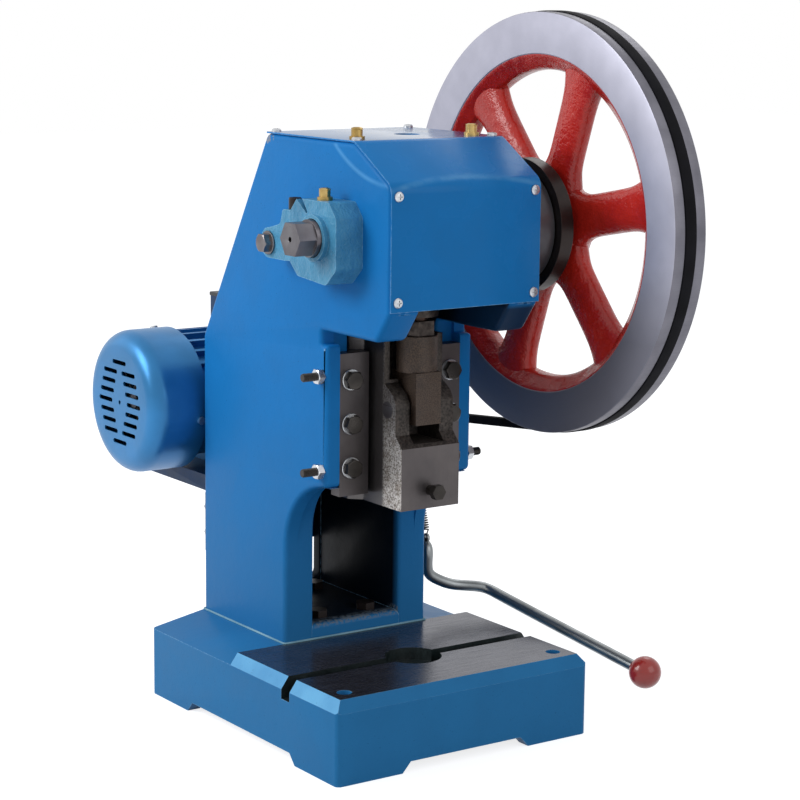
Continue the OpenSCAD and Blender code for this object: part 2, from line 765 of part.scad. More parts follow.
module clutch_ring() color("#4a403a") difference() {
    bar_x(ring_left, ring_right, clutch_ring_d / 2, 0, crank_z);
    bar_x(ring_left - cut, ring_right + cut, journal_d / 2 + 3, 0, crank_z);
    for (i = [0:3]) at_ring_screw(i) {
        bar_x(ring_left - cut, ring_right + cut, 3, 0, 0);
        bar_x(ring_left - cut, ring_left + 6, 5, 0, 0);
    }
}

module at_ring_screw(i)
    translate([0, 0, crank_z]) rotate([45 + 90 * i, 0, 0]) translate([0, 32, 0]) children();

module ring_screws() color("#2f2d2c") for (i = [0:3]) at_ring_screw(i) {
    bar_x(ring_left + 5, ring_right + 14, 3, 0, 0);
    difference() {
        bar_x(ring_left + 0.5, ring_left + 6, 5, 0, 0);
        translate([ring_left, 0, 0]) rotate([0, 90, 0]) hexagon(5, 4);
    }
}

// ---- flywheel ----

wheel_r = wheel_d / 2;
rim_in_r = wheel_r - rim_h;
wheel_mid = wheel_x + wheel_w / 2;
rim_slope = 14;                                 // rise of the rim towards the spokes
rim_ridge = 7;                                  // half the width of the ridge there
wheel_right = wheel_x + wheel_w;
spoke_phase = 11;       // turn of the spoke that points to the front

module rim_profile() {
    groove_top = belt_inner_w / 2 + belt_h * tan(groove_angle) + 0.4;
    groove_depth = belt_h + 2;
    groove_base = groove_top - groove_depth * tan(groove_angle);
    polygon([
        [rim_in_r, wheel_x], [wheel_r - 1, wheel_x], [wheel_r, wheel_x + 1],
        [wheel_r, wheel_mid - groove_top], [wheel_r - groove_depth, wheel_mid - groove_base],
        [wheel_r - groove_depth, wheel_mid + groove_base], [wheel_r, wheel_mid + groove_top],
        [wheel_r, wheel_right - 1], [wheel_r - 1, wheel_right], [rim_in_r, wheel_right],
        [rim_in_r - rim_slope, wheel_mid + rim_ridge],
        [rim_in_r - rim_slope, wheel_mid - rim_ridge]
    ]);
}

module hub_profile() polygon([
    [wheel_shaft_d / 2 + 4.5, hub_left], [hub_d / 2, hub_left], [hub_d / 2 + 6, wheel_mid - spoke_t / 2],
    [hub_d / 2 + 6, wheel_mid + spoke_t / 2], [hub_d / 2, hub_right], [wheel_shaft_d / 2 + 4.5, hub_right]
]);

// the window between two spokes, with its middle on the Y axis
module spoke_window() {
    half = 180 / spokes;
    near = hub_d / 2 + 24;
    far = rim_in_r - 6;
    w = spoke_w / 2;
    function edge(r, extra, s) =
        let (a = half - asin((w + extra) / r)) r * [cos(a), s * sin(a)];
    polygon(rounded(
        concat(
            [edge(near, 3, -1), edge((near + far) / 2, -1, -1), edge(far, 3, -1)],
            [for (i = [-2:2]) let (a = i * half / 4) far * [cos(a), sin(a)]],
            [edge(far, 3, 1), edge((near + far) / 2, -1, 1), edge(near, 3, 1)]
        ),
        [6, 30, 13, 0, 0, 0, 0, 0, 13, 30, 6]
    ));
}

module at_spoke(i)
    translate([0, 0, crank_z]) rotate([180 - spoke_phase + i * 360 / spokes, 0, 0]) children();

module flywheel() color("#c3342c") difference() {
    union() {
        about_x(0, crank_z) rim_profile();
        about_x(0, crank_z) hub_profile();
        difference() {
            bar_x(wheel_mid - spoke_t / 2, wheel_mid + spoke_t / 2, rim_in_r, 0, crank_z);
            bar_x(wheel_x - 20, wheel_x + 60, wheel_shaft_d / 2 + 4.5, 0, crank_z);
            for (i = [0:spokes - 1]) at_spoke(i + 0.5) along_x(wheel_x, wheel_right) spoke_window();
        }
    }
    for (i = [0:3]) at_ring_screw(i) bar_x(hub_left - cut, hub_left + 16, 3, 0, 0);
}

module hub_bush() color("#b0823c") difference() {
    bar_x(hub_left + 0.5, hub_right, wheel_shaft_d / 2 + 4.5, 0, crank_z);
    bar_x(hub_left, hub_right + cut, wheel_shaft_d / 2 + run, 0, crank_z);
}

module end_washer() color("#2e2c2b") difference() {
    bar_x(hub_right + 0.4, hub_right + 0.4 + washer_t, washer_r, 0, crank_z);
    bar_x(hub_right, hub_right + 10, 6, 0, crank_z);
}

module end_bolt() color("#6a6866") {
    bar_x(hub_right - 20, hub_right + 0.5 + washer_t, 6, 0, crank_z);
    translate([hub_right + 0.4 + washer_t, 0, crank_z]) rotate([0, 90, 0]) hexagon(19, end_head_h + 0.1);
}

// ---- connecting rod ----

rod_neck_bottom = wrist_height + 86;
rod_block_top = wrist_height + 35;
rod_cap_top = rod_neck_bottom - 18;             // top of the round part, where the lock nut sits
lock_nut_h = 14;
rod_block_bottom = wrist_height - 14;
rod_block_half = pocket_half - 2.8;
rod_block_d = 40;
big_end_r = big_end_d / 2;
rod_bush_t = 3;

module connecting_rod() color("#55504c") difference() {
    union() {
        bar_x(-big_end_w / 2, big_end_w / 2, big_end_r, 0, pin_height);
        bar_z(rod_neck_bottom, pin_height - 10, 20, 0, 0);
        bar_z(rod_neck_bottom + 14, pin_height - 10, 21.5, 0, 0);
    }
    bar_x(-big_end_w, big_end_w, pin_d / 2 + rod_bush_t, 0, pin_height);
    bar_z(rod_neck_bottom - cut, pin_height - pin_d / 2 - rod_bush_t - 5, adjust_d / 2, 0, 0);
}

module rod_bush() color("#b0823c") difference() {
    bar_x(-big_end_w / 2, big_end_w / 2, pin_d / 2 + rod_bush_t, 0, pin_height);
    bar_x(-big_end_w, big_end_w, pin_d / 2 + run, 0, pin_height);
}

module adjusting_screw() color("#6b4a3c")
    bar_z(rod_cap_top - 30, rod_neck_bottom + 30, adjust_d / 2, 0, 0);

module lock_nut() color("#3a3634") difference() {
    translate([0, 0, rod_cap_top]) hexagon(lock_nut_af, lock_nut_h);
    bar_z(rod_neck_bottom - 30, rod_neck_bottom + cut, adjust_d / 2, 0, 0);
}

// the block that rides on the wrist pin; its pin seat is open to the back and has room above
// and below, because the rod stays upright while the crank swings it forward
module rod_block() color("#5e4a38") {
    seat = wrist_d / 2 + 0.23 * throw;
    difference() {
        union() {
            along_z(rod_block_bottom, rod_block_top)
                translate([-rod_block_half, -rod_block_d / 2]) square([2 * rod_block_half, rod_block_d]);
            bar_z(rod_block_top - 1, rod_cap_top, rod_cap_d / 2, 0, 0);
        }
        bar_x(-40, 40, seat, 0, wrist_height);
        translate([-40, 0, wrist_height - seat]) cube([80, 40, 2 * seat]);
        bar_z(rod_cap_top - 30, rod_cap_top + cut, adjust_d / 2, 0, 0);
    }
}

// ---- ram ----

pocket_floor = ram_bottom + ram_block_h;
pocket_back = rod_block_d / 2 + 1.5;
cheek_front = -ram_d / 2 + 10.5;                // front of the cheeks beside the pin
cheek_z = wrist_height + 7;                     // where the cheeks slope back
cheek_top = wrist_height + 24;
tall_front = 5;                                 // front of the slide above the cheeks
tall_wall = 5.5;                                // its walls beside the rod

module ram_plan() polygon([
    [-ram_w / 2, -ram_d / 2], [ram_w / 2, -ram_d / 2], [ram_w / 2, ram_d / 2],
    [ram_w / 2, gib_seat_y - 0.5], [slide_half, gib_seat_y - 0.5 + vee_run], [slide_half, slide_back],
    [-slide_half, slide_back], [-slide_half, gib_seat_y - 0.5 + vee_run],
    [-ram_w / 2, gib_seat_y - 0.5], [-ram_w / 2, ram_d / 2]
]);

module ram() color("#6f6b69") difference() {
    intersection() {
        along_z(ram_bottom, ram_bottom + slide_l) ram_plan();
        // the cheeks stand back from the block, and slope back to the slide
        along_x(-60, 60) polygon([
            [-ram_d / 2, ram_bottom], [-ram_d / 2, pocket_floor - 3],
            [cheek_front, pocket_floor + 8], [cheek_front, cheek_z], [cheek_front + 5, cheek_z + 8],
            [tall_front, cheek_top], [tall_front, ram_bottom + slide_l],
            [slide_back + 1, ram_bottom + slide_l], [slide_back + 1, ram_bottom]
        ]);
    }
    // pocket for the rod's block, open at the front and the top
    along_z(pocket_floor, ram_bottom + slide_l + cut)
        translate([-pocket_half, -ram_d]) square([2 * pocket_half, ram_d + pocket_back]);
    along_z(cheek_top + 3, ram_bottom + slide_l + cut)
        translate([-ram_w / 2 + tall_wall, -ram_d]) square([ram_w - 2 * tall_wall, ram_d + pocket_back]);
    bar_x(-ram_w, ram_w, wrist_d / 2, 0, wrist_height);
    bar_z(ram_bottom - cut, ram_bottom + shank_h, shank_d / 2, 0, 0);
    bar_y(-ram_d, 0, 5, 0, ram_bottom + 17);
}

module wrist_pin() color("#8d8986") bar_x(-ram_w / 2, ram_w / 2, wrist_d / 2, 0, wrist_height);

module shank_screw() color("#262424") {
    bar_y(-ram_d / 2 - 8, -shank_d / 2 - 0.5, 5, 0, ram_bottom + 17);
    translate([0, -ram_d / 2 - 8, ram_bottom + 17]) rotate([90, 0, 0]) hexagon(13, 7);
}

// ---- motor ----

module motor_plate() color("#23456b") difference() {
    union() {
        along_z(plate_top - plate_t, plate_top)
            translate([plate_x0, base_back]) square([plate_x1 - plate_x0, plate_y1 - base_back]);
        along_z(plate_top - plate_t - flange_h, plate_top - plate_t)
            translate([-flange_half, base_back]) square([2 * flange_half, flange_t]);
        along_x(4, 16) polygon([
            [base_back + flange_t, plate_top - plate_t],
            [base_back + flange_t, plate_top - plate_t - flange_h],
            [base_back + flange_t + 14, plate_top - plate_t - flange_h],
            [plate_y1 - 14, plate_top - plate_t - 8], [plate_y1 - 14, plate_top - plate_t]
        ]);
    }
    for (x = foot_xs, s = [-1, 1])
        along_z(plate_top - plate_t - cut, plate_top + cut) tension_slot(x, motor_y + s * foot_y);
    for (s = [-1, 1], z = flange_bolt_zs)
        bar_y(base_back - cut, base_back + flange_t + cut, 4.5, s * (half_w - side_t / 2), z);
}

// a slot along Y for belt tension
module tension_slot(x, y) {
    translate([x - 3.5, y - 7]) square([7, 14]);
    for (s = [-1, 1]) translate([x, y + 7 * s]) circle(r = 3.5);
}

module plate_bolts() color("#c4c6c9") for (s = [-1, 1], z = flange_bolt_zs) {
    bar_y(base_back - 18, base_back + flange_t, 4, s * (half_w - side_t / 2), z);
    translate([s * (half_w - side_t / 2), base_back + flange_t + 5.5, z])
        rotate([90, 0, 0]) hexagon(13, 5.5);
}

// plan of the finned housing, without fins where the feet are
module housing_section() difference() {
    union() {
        circle(r = housing_r);
        for (i = [0:27]) if (i < 17 || i > 25) rotate(i * 360 / 28)
            translate([housing_r - 2, -1.4]) square([10, 2.8]);
    }
    circle(r = housing_r - 6);
}

module motor_housing() color("#2a6fb0") {
    difference() {
        union() {
            translate([0, motor_y, motor_z]) along_x(housing_x0, housing_x1) housing_section();
            for (x = foot_xs) along_x(x - 14, x + 14) polygon([
                [motor_y - 70, plate_top], [motor_y + 70, plate_top], [motor_y + 70, plate_top + 9],
                [motor_y + 44, plate_top + 9], [motor_y + 32, motor_z - housing_r + 10],
                [motor_y - 32, motor_z - housing_r + 10],
                [motor_y - 44, plate_top + 9], [motor_y - 70, plate_top + 9]
            ]);
            along_z(motor_z + housing_r - 3, box_bottom) translate([box_x0 + 6, motor_y - 26.5])
                square([box_l - 12, 53]);
        }
        bar_x(housing_x0 - cut, housing_x1 + cut, housing_r - 6, motor_y, motor_z);
        for (x = foot_xs, s = [-1, 1])
            bar_z(plate_top - cut, plate_top + 10, 3.4, x, motor_y + s * foot_y);
    }
}

// half section of an end shield; its rim is rim_r in radius and rim_w wide
module shield_profile(x_in, x_out, rim_r, rim_w) {
    d = x_out > x_in ? 1 : -1;
    polygon([
        [bearing_r, x_in], [housing_r - 6.02, x_in], [housing_r - 6.02, x_in + 5 * d],
        [rim_r, x_in + 5 * d], [rim_r, x_in + (5 + rim_w) * d],
        [housing_r, x_in + (5 + rim_w) * d], [housing_r - 2, x_in + 8 * d],
        [housing_r - 12, x_out], [motor_shaft_d / 2 + 1, x_out],
        [motor_shaft_d / 2 + 1, x_out - 2 * d], [bearing_r, x_out - 2 * d]
    ]);
}

module drive_shield() color("#2a6fb0")
    about_x(motor_y, motor_z) shield_profile(housing_x1 - 5, housing_x1 - 5 + shield_t, housing_r + 8, 4);

module at_cowl_screws() for (a = cowl_screw_angles)
    translate([0, motor_y, motor_z]) rotate([a, 0, 0]) children();

// the cowl sits on this shield's rim
module fan_shield() color("#2a6fb0") difference() {
    about_x(motor_y, motor_z)
        shield_profile(housing_x0 + 5, housing_x0 + 5 - shield_t, cowl_r - cowl_t, 12);
    at_cowl_screws() bar_y(cowl_r - cowl_t - 3.5, cowl_r, 2, cowl_back - 6, 0);
}

module stator() color("#8b5a3c") difference() {
    bar_x(-40, 72, housing_r - 6, motor_y, motor_z);
    bar_x(-41, 73, 32, motor_y, motor_z);
}

module motor_bearings() color("#b9bcc0") for (i = [0, 1]) difference() {
    x0 = i == 0 ? housing_x0 + 7 - shield_t : housing_x1 - 7 + shield_t - bearing_w;
    bar_x(x0, x0 + bearing_w, bearing_r, motor_y, motor_z);
    bar_x(x0 - cut, x0 + bearing_w + cut, motor_shaft_d / 2 + run, motor_y, motor_z);
}

module rotor_shaft() color("#9a9c9f") {
    bar_x(-cowl_x + 16, shaft_end, motor_shaft_d / 2, motor_y, motor_z);
    bar_x(-38, 70, 31, motor_y, motor_z);
}

fan_x = -cowl_x + 26;

module cooling_fan() color("#2b2b2d") difference() {
    union() {
        bar_x(fan_x - 6, fan_x + 10, 16, motor_y, motor_z);
        bar_x(fan_x + 8, fan_x + 10, 50, motor_y, motor_z);
        for (i = [0:6]) translate([0, motor_y, motor_z]) rotate([i * 360 / 7, 0, 0])
            translate([fan_x - 8, 14, -1]) cube([17, 44, 2]);
    }
    bar_x(fan_x - 20, fan_x + 20, motor_shaft_d / 2, motor_y, motor_z);
}

module cowl_profile() {
    r = 18;
    arc = [for (i = [0:8]) let (a = i * 90 / 8)
        [cowl_r - r + r * sin(a), -cowl_x + r - r * cos(a)]];
    ri = r - cowl_t;
    arc_in = [for (i = [8:-1:0]) let (a = i * 90 / 8)
        [cowl_r - r + ri * sin(a), -cowl_x + r - ri * cos(a)]];
    polygon(concat([[0, -cowl_x]], arc, [[cowl_r, cowl_back]], [[cowl_r - cowl_t, cowl_back]],
                   arc_in, [[0, -cowl_x + cowl_t]]));
}

// air slots of the cowl, two in each row and one at the top and the bottom
module cowl_slots() for (i = [-4:4], s = abs(i) == 4 ? [0] : [-1, 1])
    translate([s * (29.5 - 3.6 * abs(i)), i * cowl_slot_pitch]) {
        square([cowl_slot_l - cowl_slot_h, cowl_slot_h], center = true);
        for (e = [-1, 1])
            translate([e * (cowl_slot_l - cowl_slot_h) / 2, 0]) circle(r = cowl_slot_h / 2, $fn = 16);
    }

module fan_cowl() color("#2f7fb5") difference() {
    about_x(motor_y, motor_z) cowl_profile();
    translate([0, motor_y, motor_z]) along_x(-cowl_x - cut, -cowl_x + 4) cowl_slots();
    bar_x(-cowl_x - cut, -cowl_x + 4, cowl_slot_h / 2, motor_y, motor_z);
    at_cowl_screws() bar_y(cowl_r - 4, cowl_r + 2, 2.2, cowl_back - 6, 0);
}

cowl_screw_angles = [70, 190, 310];

module cowl_screws() color("#c9ccd1") at_cowl_screws() {
    bar_y(cowl_r - cowl_t - 3.2, cowl_r, 2, cowl_back - 6, 0);
    bar_y(cowl_r, cowl_r + 2.4, 4, cowl_back - 6, 0);
}

box_x0 = -8;
box_l = 70;
box_bottom = motor_z + housing_r + 10;
box_h = 26;

module terminal_box() color("#1f2a36") difference() {
    along_z(box_bottom, box_bottom + box_h) translate([box_x0, motor_y - 34]) square([box_l, 68]);
    along_z(box_bottom + 3, box_bottom + box_h + cut)
        translate([box_x0 + 3, motor_y - 31]) square([box_l - 6, 62]);
    bar_y(motor_y + 30, motor_y + 36, 8, box_x0 + 20, box_bottom + 14);
}

module terminal_lid() color("#9aa0aa")
    along_z(box_bottom + box_h, box_bottom + box_h + 4)
        translate([box_x0 - 1, motor_y - 35]) square([box_l + 2, 70]);

module motor_bolts() color("#c4c6c9") for (x = foot_xs, s = [-1, 1]) {
    bar_z(plate_top - plate_t - 8, plate_top + 9, 3, x, motor_y + s * foot_y);
    translate([x, motor_y + s * foot_y, plate_top + 9]) hexagon(10, 4);
    translate([x, motor_y + s * foot_y, plate_top - plate_t - 5]) hexagon(10, 5);
}

module motor_pulley() color("#5d6064") {
    r = pulley_d / 2;
    top = belt_w / 2 + 0.35;
    deep = belt_h + 2;
    base = top - deep * tan(groove_angle);
    about_x(motor_y, motor_z) polygon([
        [motor_shaft_d / 2, belt_x - 22], [18, belt_x - 22], [18, belt_x - 10.5], [r, belt_x - 10.5],
        [r, belt_x - top], [r - deep, belt_x - base], [r - deep, belt_x + base], [r, belt_x + top],
        [r, belt_x + 10.5], [motor_shaft_d / 2, belt_x + 10.5]
    ]);
}

// ---- belt ----

// outline of the belt's run, t outside its inner face, in steps of three degrees
module belt_outline(t) {
    function arc(y, z, r, a0, a1) =
        let (n = ceil((a1 - a0) / 3))
        [for (i = [0:n]) let (a = a0 + (a1 - a0) * i / n) [y + r * cos(a), z + r * sin(a)]];
    polygon(concat(
        arc(0, crank_z, belt_in_r + t, centre_angle + wrap, centre_angle + 360 - wrap),
        arc(motor_y, motor_z, pulley_belt_r + t, centre_angle - wrap, centre_angle + wrap)
    ));
}

// half of the belt's height, as wide as it is there
module belt_layer(t0, t1, half) along_x(belt_x - half, belt_x + half) difference() {
    belt_outline(t1);
    belt_outline(t0);
}

module drive_belt() color("#16161a") {
    belt_layer(0, belt_h / 2, belt_inner_w / 2);
    belt_layer(belt_h / 2, belt_h, belt_w / 2 - belt_h / 2 * tan(groove_angle) - 0.1);
}

// ---- lever and clutch linkage ----

module hand_lever() color("#8f9296") {
    difference() {
        bar_x(lever_x - 7, lever_x + 7, 10.5, lever_pivot_y, lever_pivot_z);
        bar_x(lever_x - 8, lever_x + 8, 6 + run, lever_pivot_y, lever_pivot_z);
    }
    difference() {
        for (i = [0:len(lever_route) - 2]) {
            strut(lever_route[i], lever_route[i + 1], lever_d / 2);
            if (i > 0) translate(lever_route[i]) sphere(r = lever_d / 2 + 0.15, $fn = 32);
        }
        bar_x(lever_x - 20, lever_x + 20, 9, lever_pivot_y, lever_pivot_z);
        translate(knob_at) sphere(r = knob_d / 2 - 0.01, $fn = 64);
    }
    // pin that carries the lower eye of the pull rod
    bar_x(link_x - 1.5, lever_x, 2.95, eye_y, lever_pivot_z);
    // hole lug for the spring
    along_x(lever_x - 1.5, lever_x + 1.5) difference() {
        translate([spring_bottom.y, spring_bottom.z - 1]) circle(r = 4.5);
        translate([spring_bottom.y, spring_bottom.z]) circle(r = 1.6, $fn = 24);
    }
}

module ball_knob() color("#a3231f") translate(knob_at) sphere(r = knob_d / 2, $fn = 64);

module lever_stud() color("#b5b7ba") {
    bar_x(half_w - 16, half_w, 5, lever_pivot_y, lever_pivot_z);
    bar_x(half_w, lever_x - 7.2, 8, lever_pivot_y, lever_pivot_z);
    bar_x(lever_x - 7.5, lever_x + 7.3, 6, lever_pivot_y, lever_pivot_z);
    translate([lever_x + 7.3, lever_pivot_y, lever_pivot_z]) rotate([0, 90, 0]) hexagon(16, 6);
}

module link_eye(p) bar_x(link_x, link_x + link_t, 7, p.x, p.y);

module pull_rod() color("#2a2a2c") {
    low = [eye_y, lever_pivot_z];
    mid_x = link_x + link_t / 2;
    up = unit(finger_eye - low);
    difference() {
        union() {
            link_eye(low);
            link_eye(finger_eye);
            strut(concat([mid_x], low + 5 * up), concat([mid_x], finger_eye - 5 * up), 1.9);
        }
        for (p = [low, finger_eye]) bar_x(link_x - cut, link_x + link_t + cut, 3, p.x, p.y);
    }
}

finger_tip = [36, crank_z - 51];

module clutch_finger() color("#4d4a48") {
    difference() {
        union() {
            along_x(finger_x, finger_x + finger_t) polygon(rounded(
                [[finger_pivot.x + 10, finger_pivot.y - 9], [finger_pivot.x + 10, finger_pivot.y + 9],
                 [90, finger_pivot.y + 10], [finger_tip.x + 14, finger_tip.y - 4], finger_tip,
                 [finger_tip.x - 6, finger_tip.y - 6], [finger_tip.x + 4, finger_tip.y - 20],
                 [90, finger_pivot.y - 9]],
                [8, 8, 20, 4, 1.5, 2, 6, 20]
            ));
            bar_x(finger_x + finger_t - 1, link_x + link_t + 1, 2.95, finger_eye.x, finger_eye.y);
        }
        bar_x(finger_x - cut, finger_x + finger_t + cut, 5 + run, finger_pivot.x, finger_pivot.y);
    }
}

module finger_stud() color("#b5b7ba") {
    bar_x(half_w - 16, half_w, 4, finger_pivot.x, finger_pivot.y);
    bar_x(half_w, finger_x - 0.1, 7, finger_pivot.x, finger_pivot.y);
    bar_x(finger_x - 0.2, finger_x + finger_t + 0.3, 5, finger_pivot.x, finger_pivot.y);
    translate([finger_x + finger_t + 0.3, finger_pivot.x, finger_pivot.y]) rotate([0, 90, 0]) hexagon(13, 5);
    // anchor of the return spring
    bar_x(half_w - 10, half_w, 3, spring_top.y, spring_top.z);
    bar_x(half_w, lever_x - 2.4, 4, spring_top.y, spring_top.z);
    bar_x(lever_x - 2.5, lever_x + 2.5, 2.2, spring_top.y, spring_top.z);
    bar_x(lever_x + 2.4, lever_x + 4, 4, spring_top.y, spring_top.z);
}

// wire swept along a helix between the two hooks of the spring
module return_spring() {
    axis = spring_top - spring_bottom;
    dir = unit(axis);
    side = [1, 0, 0];
    third = cross(dir, side);
    facets = 8;
    steps = spring_turns * facets;
    end_gap = 7;
    coil_l = norm(axis) - 2 * end_gap;
    sides = 5;
    function centre(i) =
        let (a = i * 360 / facets)
        spring_bottom + dir * (end_gap + coil_l * i / steps)
            + spring_r * (side * cos(a) + third * sin(a));
    function ring(i) =
        let (a = i * 360 / facets, out = side * cos(a) + third * sin(a))
        [for (j = [0:sides - 1])
            centre(i) + spring_wire / 2 * (out * cos(j * 360 / sides) + dir * sin(j * 360 / sides))];
    function quad(a, b, c, d) = [[a, b, c], [a, c, d]];
    points = [for (i = [0:steps]) each ring(i)];
    faces = concat(
        [[for (j = [sides - 1:-1:0]) j]],
        [for (i = [0:steps - 1], j = [0:sides - 1]) each quad(
            i * sides + j, i * sides + (j + 1) % sides,
            (i + 1) * sides + (j + 1) % sides, (i + 1) * sides + j
        )],
        [[for (j = [0:sides - 1]) steps * sides + j]]
    );
    color("#1c1c1e") {
        polyhedron(points, faces);
        for (e = [0, 1]) strut(
            e == 0 ? centre(0) : centre(steps),
            e == 0 ? spring_bottom + dir * 4.6 : spring_top - dir * 2.9,
            spring_wire / 2, $fn = 8
        );
    }
}

place() base_casting();
place() frame_casting();
place() column_bolts();
place() head_cover();
place() cover_screws();
place() left_gib();
place() right_gib();
place() gib_bolts();
place() gib_washers();
place() gib_set_screws();
place() set_screw_nuts();
place() left_main_bush();
place() right_main_bush();
place() brake_block();
place() brake_lining();
place() brake_bolt();
place() oil_cups();
place() left_cup_lid();
place() right_cup_lid();
place() brake_cup_lid();
place() crankshaft();
place() clutch_collar();
place() clutch_key();
place() flywheel();
place() clutch_ring();
place() ring_screws();
place() hub_bush();
place() end_washer();
place() end_bolt();
place() connecting_rod();
place() rod_bush();
place() adjusting_screw();
place() lock_nut();
place() rod_block();
place() ram();
place() wrist_pin();
place() shank_screw();
place() motor_plate();
place() plate_bolts();
place() motor_housing();
place() drive_shield();
place() fan_shield();
place() stator();
place() motor_bearings();
place() rotor_shaft();
place() cooling_fan();
place() fan_cowl();
place() cowl_screws();
place() terminal_box();
place() terminal_lid();
place() motor_bolts();
place() motor_pulley();
place() drive_belt();
place() hand_lever();
place() ball_knob();
place() lever_stud();
place() pull_rod();
place() clutch_finger();
place() finger_stud();
place() return_spring();
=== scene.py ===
import json
import math

import bmesh
import bpy
import numpy as np
from mathutils import Matrix, Vector
from mathutils.geometry import tessellate_polygon


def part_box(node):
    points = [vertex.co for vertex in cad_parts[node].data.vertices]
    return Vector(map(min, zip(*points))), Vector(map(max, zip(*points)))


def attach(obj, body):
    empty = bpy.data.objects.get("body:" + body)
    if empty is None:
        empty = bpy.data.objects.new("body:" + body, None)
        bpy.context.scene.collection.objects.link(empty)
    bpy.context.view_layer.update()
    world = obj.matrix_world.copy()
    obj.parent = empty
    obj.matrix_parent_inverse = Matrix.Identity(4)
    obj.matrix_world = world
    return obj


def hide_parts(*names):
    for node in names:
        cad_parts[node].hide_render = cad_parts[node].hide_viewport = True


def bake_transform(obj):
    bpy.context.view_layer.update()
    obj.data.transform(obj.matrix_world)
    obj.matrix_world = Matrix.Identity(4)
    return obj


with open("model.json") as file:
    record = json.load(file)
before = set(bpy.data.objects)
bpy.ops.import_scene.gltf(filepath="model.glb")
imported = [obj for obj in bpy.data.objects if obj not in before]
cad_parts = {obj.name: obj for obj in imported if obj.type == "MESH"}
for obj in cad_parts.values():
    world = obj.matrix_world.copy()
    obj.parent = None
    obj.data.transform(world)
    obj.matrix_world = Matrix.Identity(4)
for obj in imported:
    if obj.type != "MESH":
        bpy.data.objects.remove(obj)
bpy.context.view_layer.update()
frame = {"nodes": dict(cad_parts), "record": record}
mm = 0.001


def middleOf(node, k):
    # (low + high) / 2 of a frame node's box on axis k, in metres
    low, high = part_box(node)
    return (low[k] + high[k]) / 2


# every size below is in millimetres from the die's axis on the bench
dieAxis = np.array([middleOf("frame_casting", 0), middleOf("end_washer", 1), 0.0])


def placed(points):
    # millimetres from the die's axis as metres in the frame: p / 1000 + dieAxis
    return np.asarray(points, float) * mm + dieAxis


def span(node):
    # lowest and highest corner of a frame node, in those millimetres
    low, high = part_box(node)
    return (np.array(low) - dieAxis) / mm, (np.array(high) - dieAxis) / mm


crank = np.array([middleOf("end_washer", 1) - dieAxis[1], middleOf("end_washer", 2)]) / mm
motorAxis = (np.array([middleOf("motor_pulley", 1), middleOf("motor_pulley", 2)]) - dieAxis[1:]) / mm
print("frame read:", len(frame["nodes"]), "nodes")


def addObject(name, data):
    # a new object in the scene
    made = bpy.data.objects.new(name, data)
    bpy.context.collection.objects.link(made)
    return made


# camera

# its place in millimetres, and which way its right and up point
view = {
    "place": (-1226.6, -1735.3, 703.8),
    "right": (0.8217, -0.5699, 0.0103),
    "up": (0.0921, 0.1507, 0.9843),
    "lens": 104.79, "sensor": 36, "farthest": 50,
}
camera = addObject("camera", bpy.data.cameras.new("camera"))
camera.data.lens = view["lens"]
camera.data.sensor_width = view["sensor"]
camera.data.clip_end = view["farthest"]
right, up = Vector(view["right"]).normalized(), Vector(view["up"])
back = right.cross(up).normalized()
up = back.cross(right)
camera.matrix_world = (Matrix.Translation(placed(view["place"]))
                       @ Matrix((right, up, back)).transposed().to_4x4())
bpy.context.scene.camera = camera
print("camera placed")

# materials


def linear(code):
    # an sRGB hex value as the linear colour that shaders take
    parts = [int(code[i:i + 2], 16) / 255 for i in (1, 3, 5)]
    return tuple(c / 12.92 if c <= 0.04045 else ((c + 0.055) / 1.055) ** 2.4 for c in parts) + (1.0,)


def addNode(tree, kind, links=(), out=0, **settings):
    # adds a node, sets its fields, gives each socket a link or a value, and returns one output of it
    node = tree.nodes.new("ShaderNode" + kind)
    for key, value in settings.items():
        setattr(node, key, value)
    for socket, source in dict(links).items():
        if isinstance(source, bpy.types.NodeSocket):
            tree.links.new(source, node.inputs[socket])
        else:
            node.inputs[socket].default_value = source
    return node.outputs[out]


def startMaterial(name, **settings):
    # a new material with its shader set; returns its tree, shader and object coordinates
    made = bpy.data.materials.new(name)
    made.use_nodes = True
    tree = made.node_tree
    shader = tree.nodes["Principled BSDF"]
    for key, value in settings.items():
        shader.inputs[key.replace("_", " ")].default_value = value
    return made, tree, shader, addNode(tree, "TexCoord", out="Object")


def finishMaterial(tree, shader, base, layers, roughness, heights):
    # colour: each (mask, hex value) covers what is under it, from the base up
    # normal: each (coordinates, size, detail, depth) is a noise raised by its depth in millimetres
    colour = linear(base)
    for mask, tone in layers:
        colour = addNode(tree, "Mix", {0: mask, 6: colour, 7: linear(tone)}, 2, data_type="RGBA")
    normal = {}
    for coords, size, detail, depth in heights:
        height = addNode(tree, "TexNoise", {"Vector": coords, "Scale": 1 / (size * mm), "Detail": detail})
        bump = {"Height": height, "Strength": 1.0, "Distance": depth * mm}
        normal = {"Normal": addNode(tree, "Bump", {**bump, **normal})}
    for socket, source in {"Base Color": colour, "Roughness": roughness, **normal}.items():
        tree.links.new(source, shader.inputs[socket])


def blotches(tree, coords, size, detail, low, high, toLow=0.0, toHigh=1.0):
    # noise about size millimetres across, carried from low..high to toLow..toHigh
    cloud = addNode(tree, "TexNoise", {"Vector": coords, "Scale": 1 / (size * mm), "Detail": detail})
    return addNode(tree, "MapRange", {0: cloud, 1: low, 2: high, 3: toLow, 4: toHigh})


def along(tree, coords, axis, low, high, toLow=0.0, toHigh=1.0):
    # a value that runs from toLow to toHigh between two places, in millimetres, on one axis
    start = dieAxis["XYZ".index(axis)]
    low, high = low * mm + start, high * mm + start
    place = addNode(tree, "SeparateXYZ", {0: coords}, axis)
    return addNode(tree, "MapRange", {0: place, 1: low, 2: high, 3: toLow, 4: toHigh})


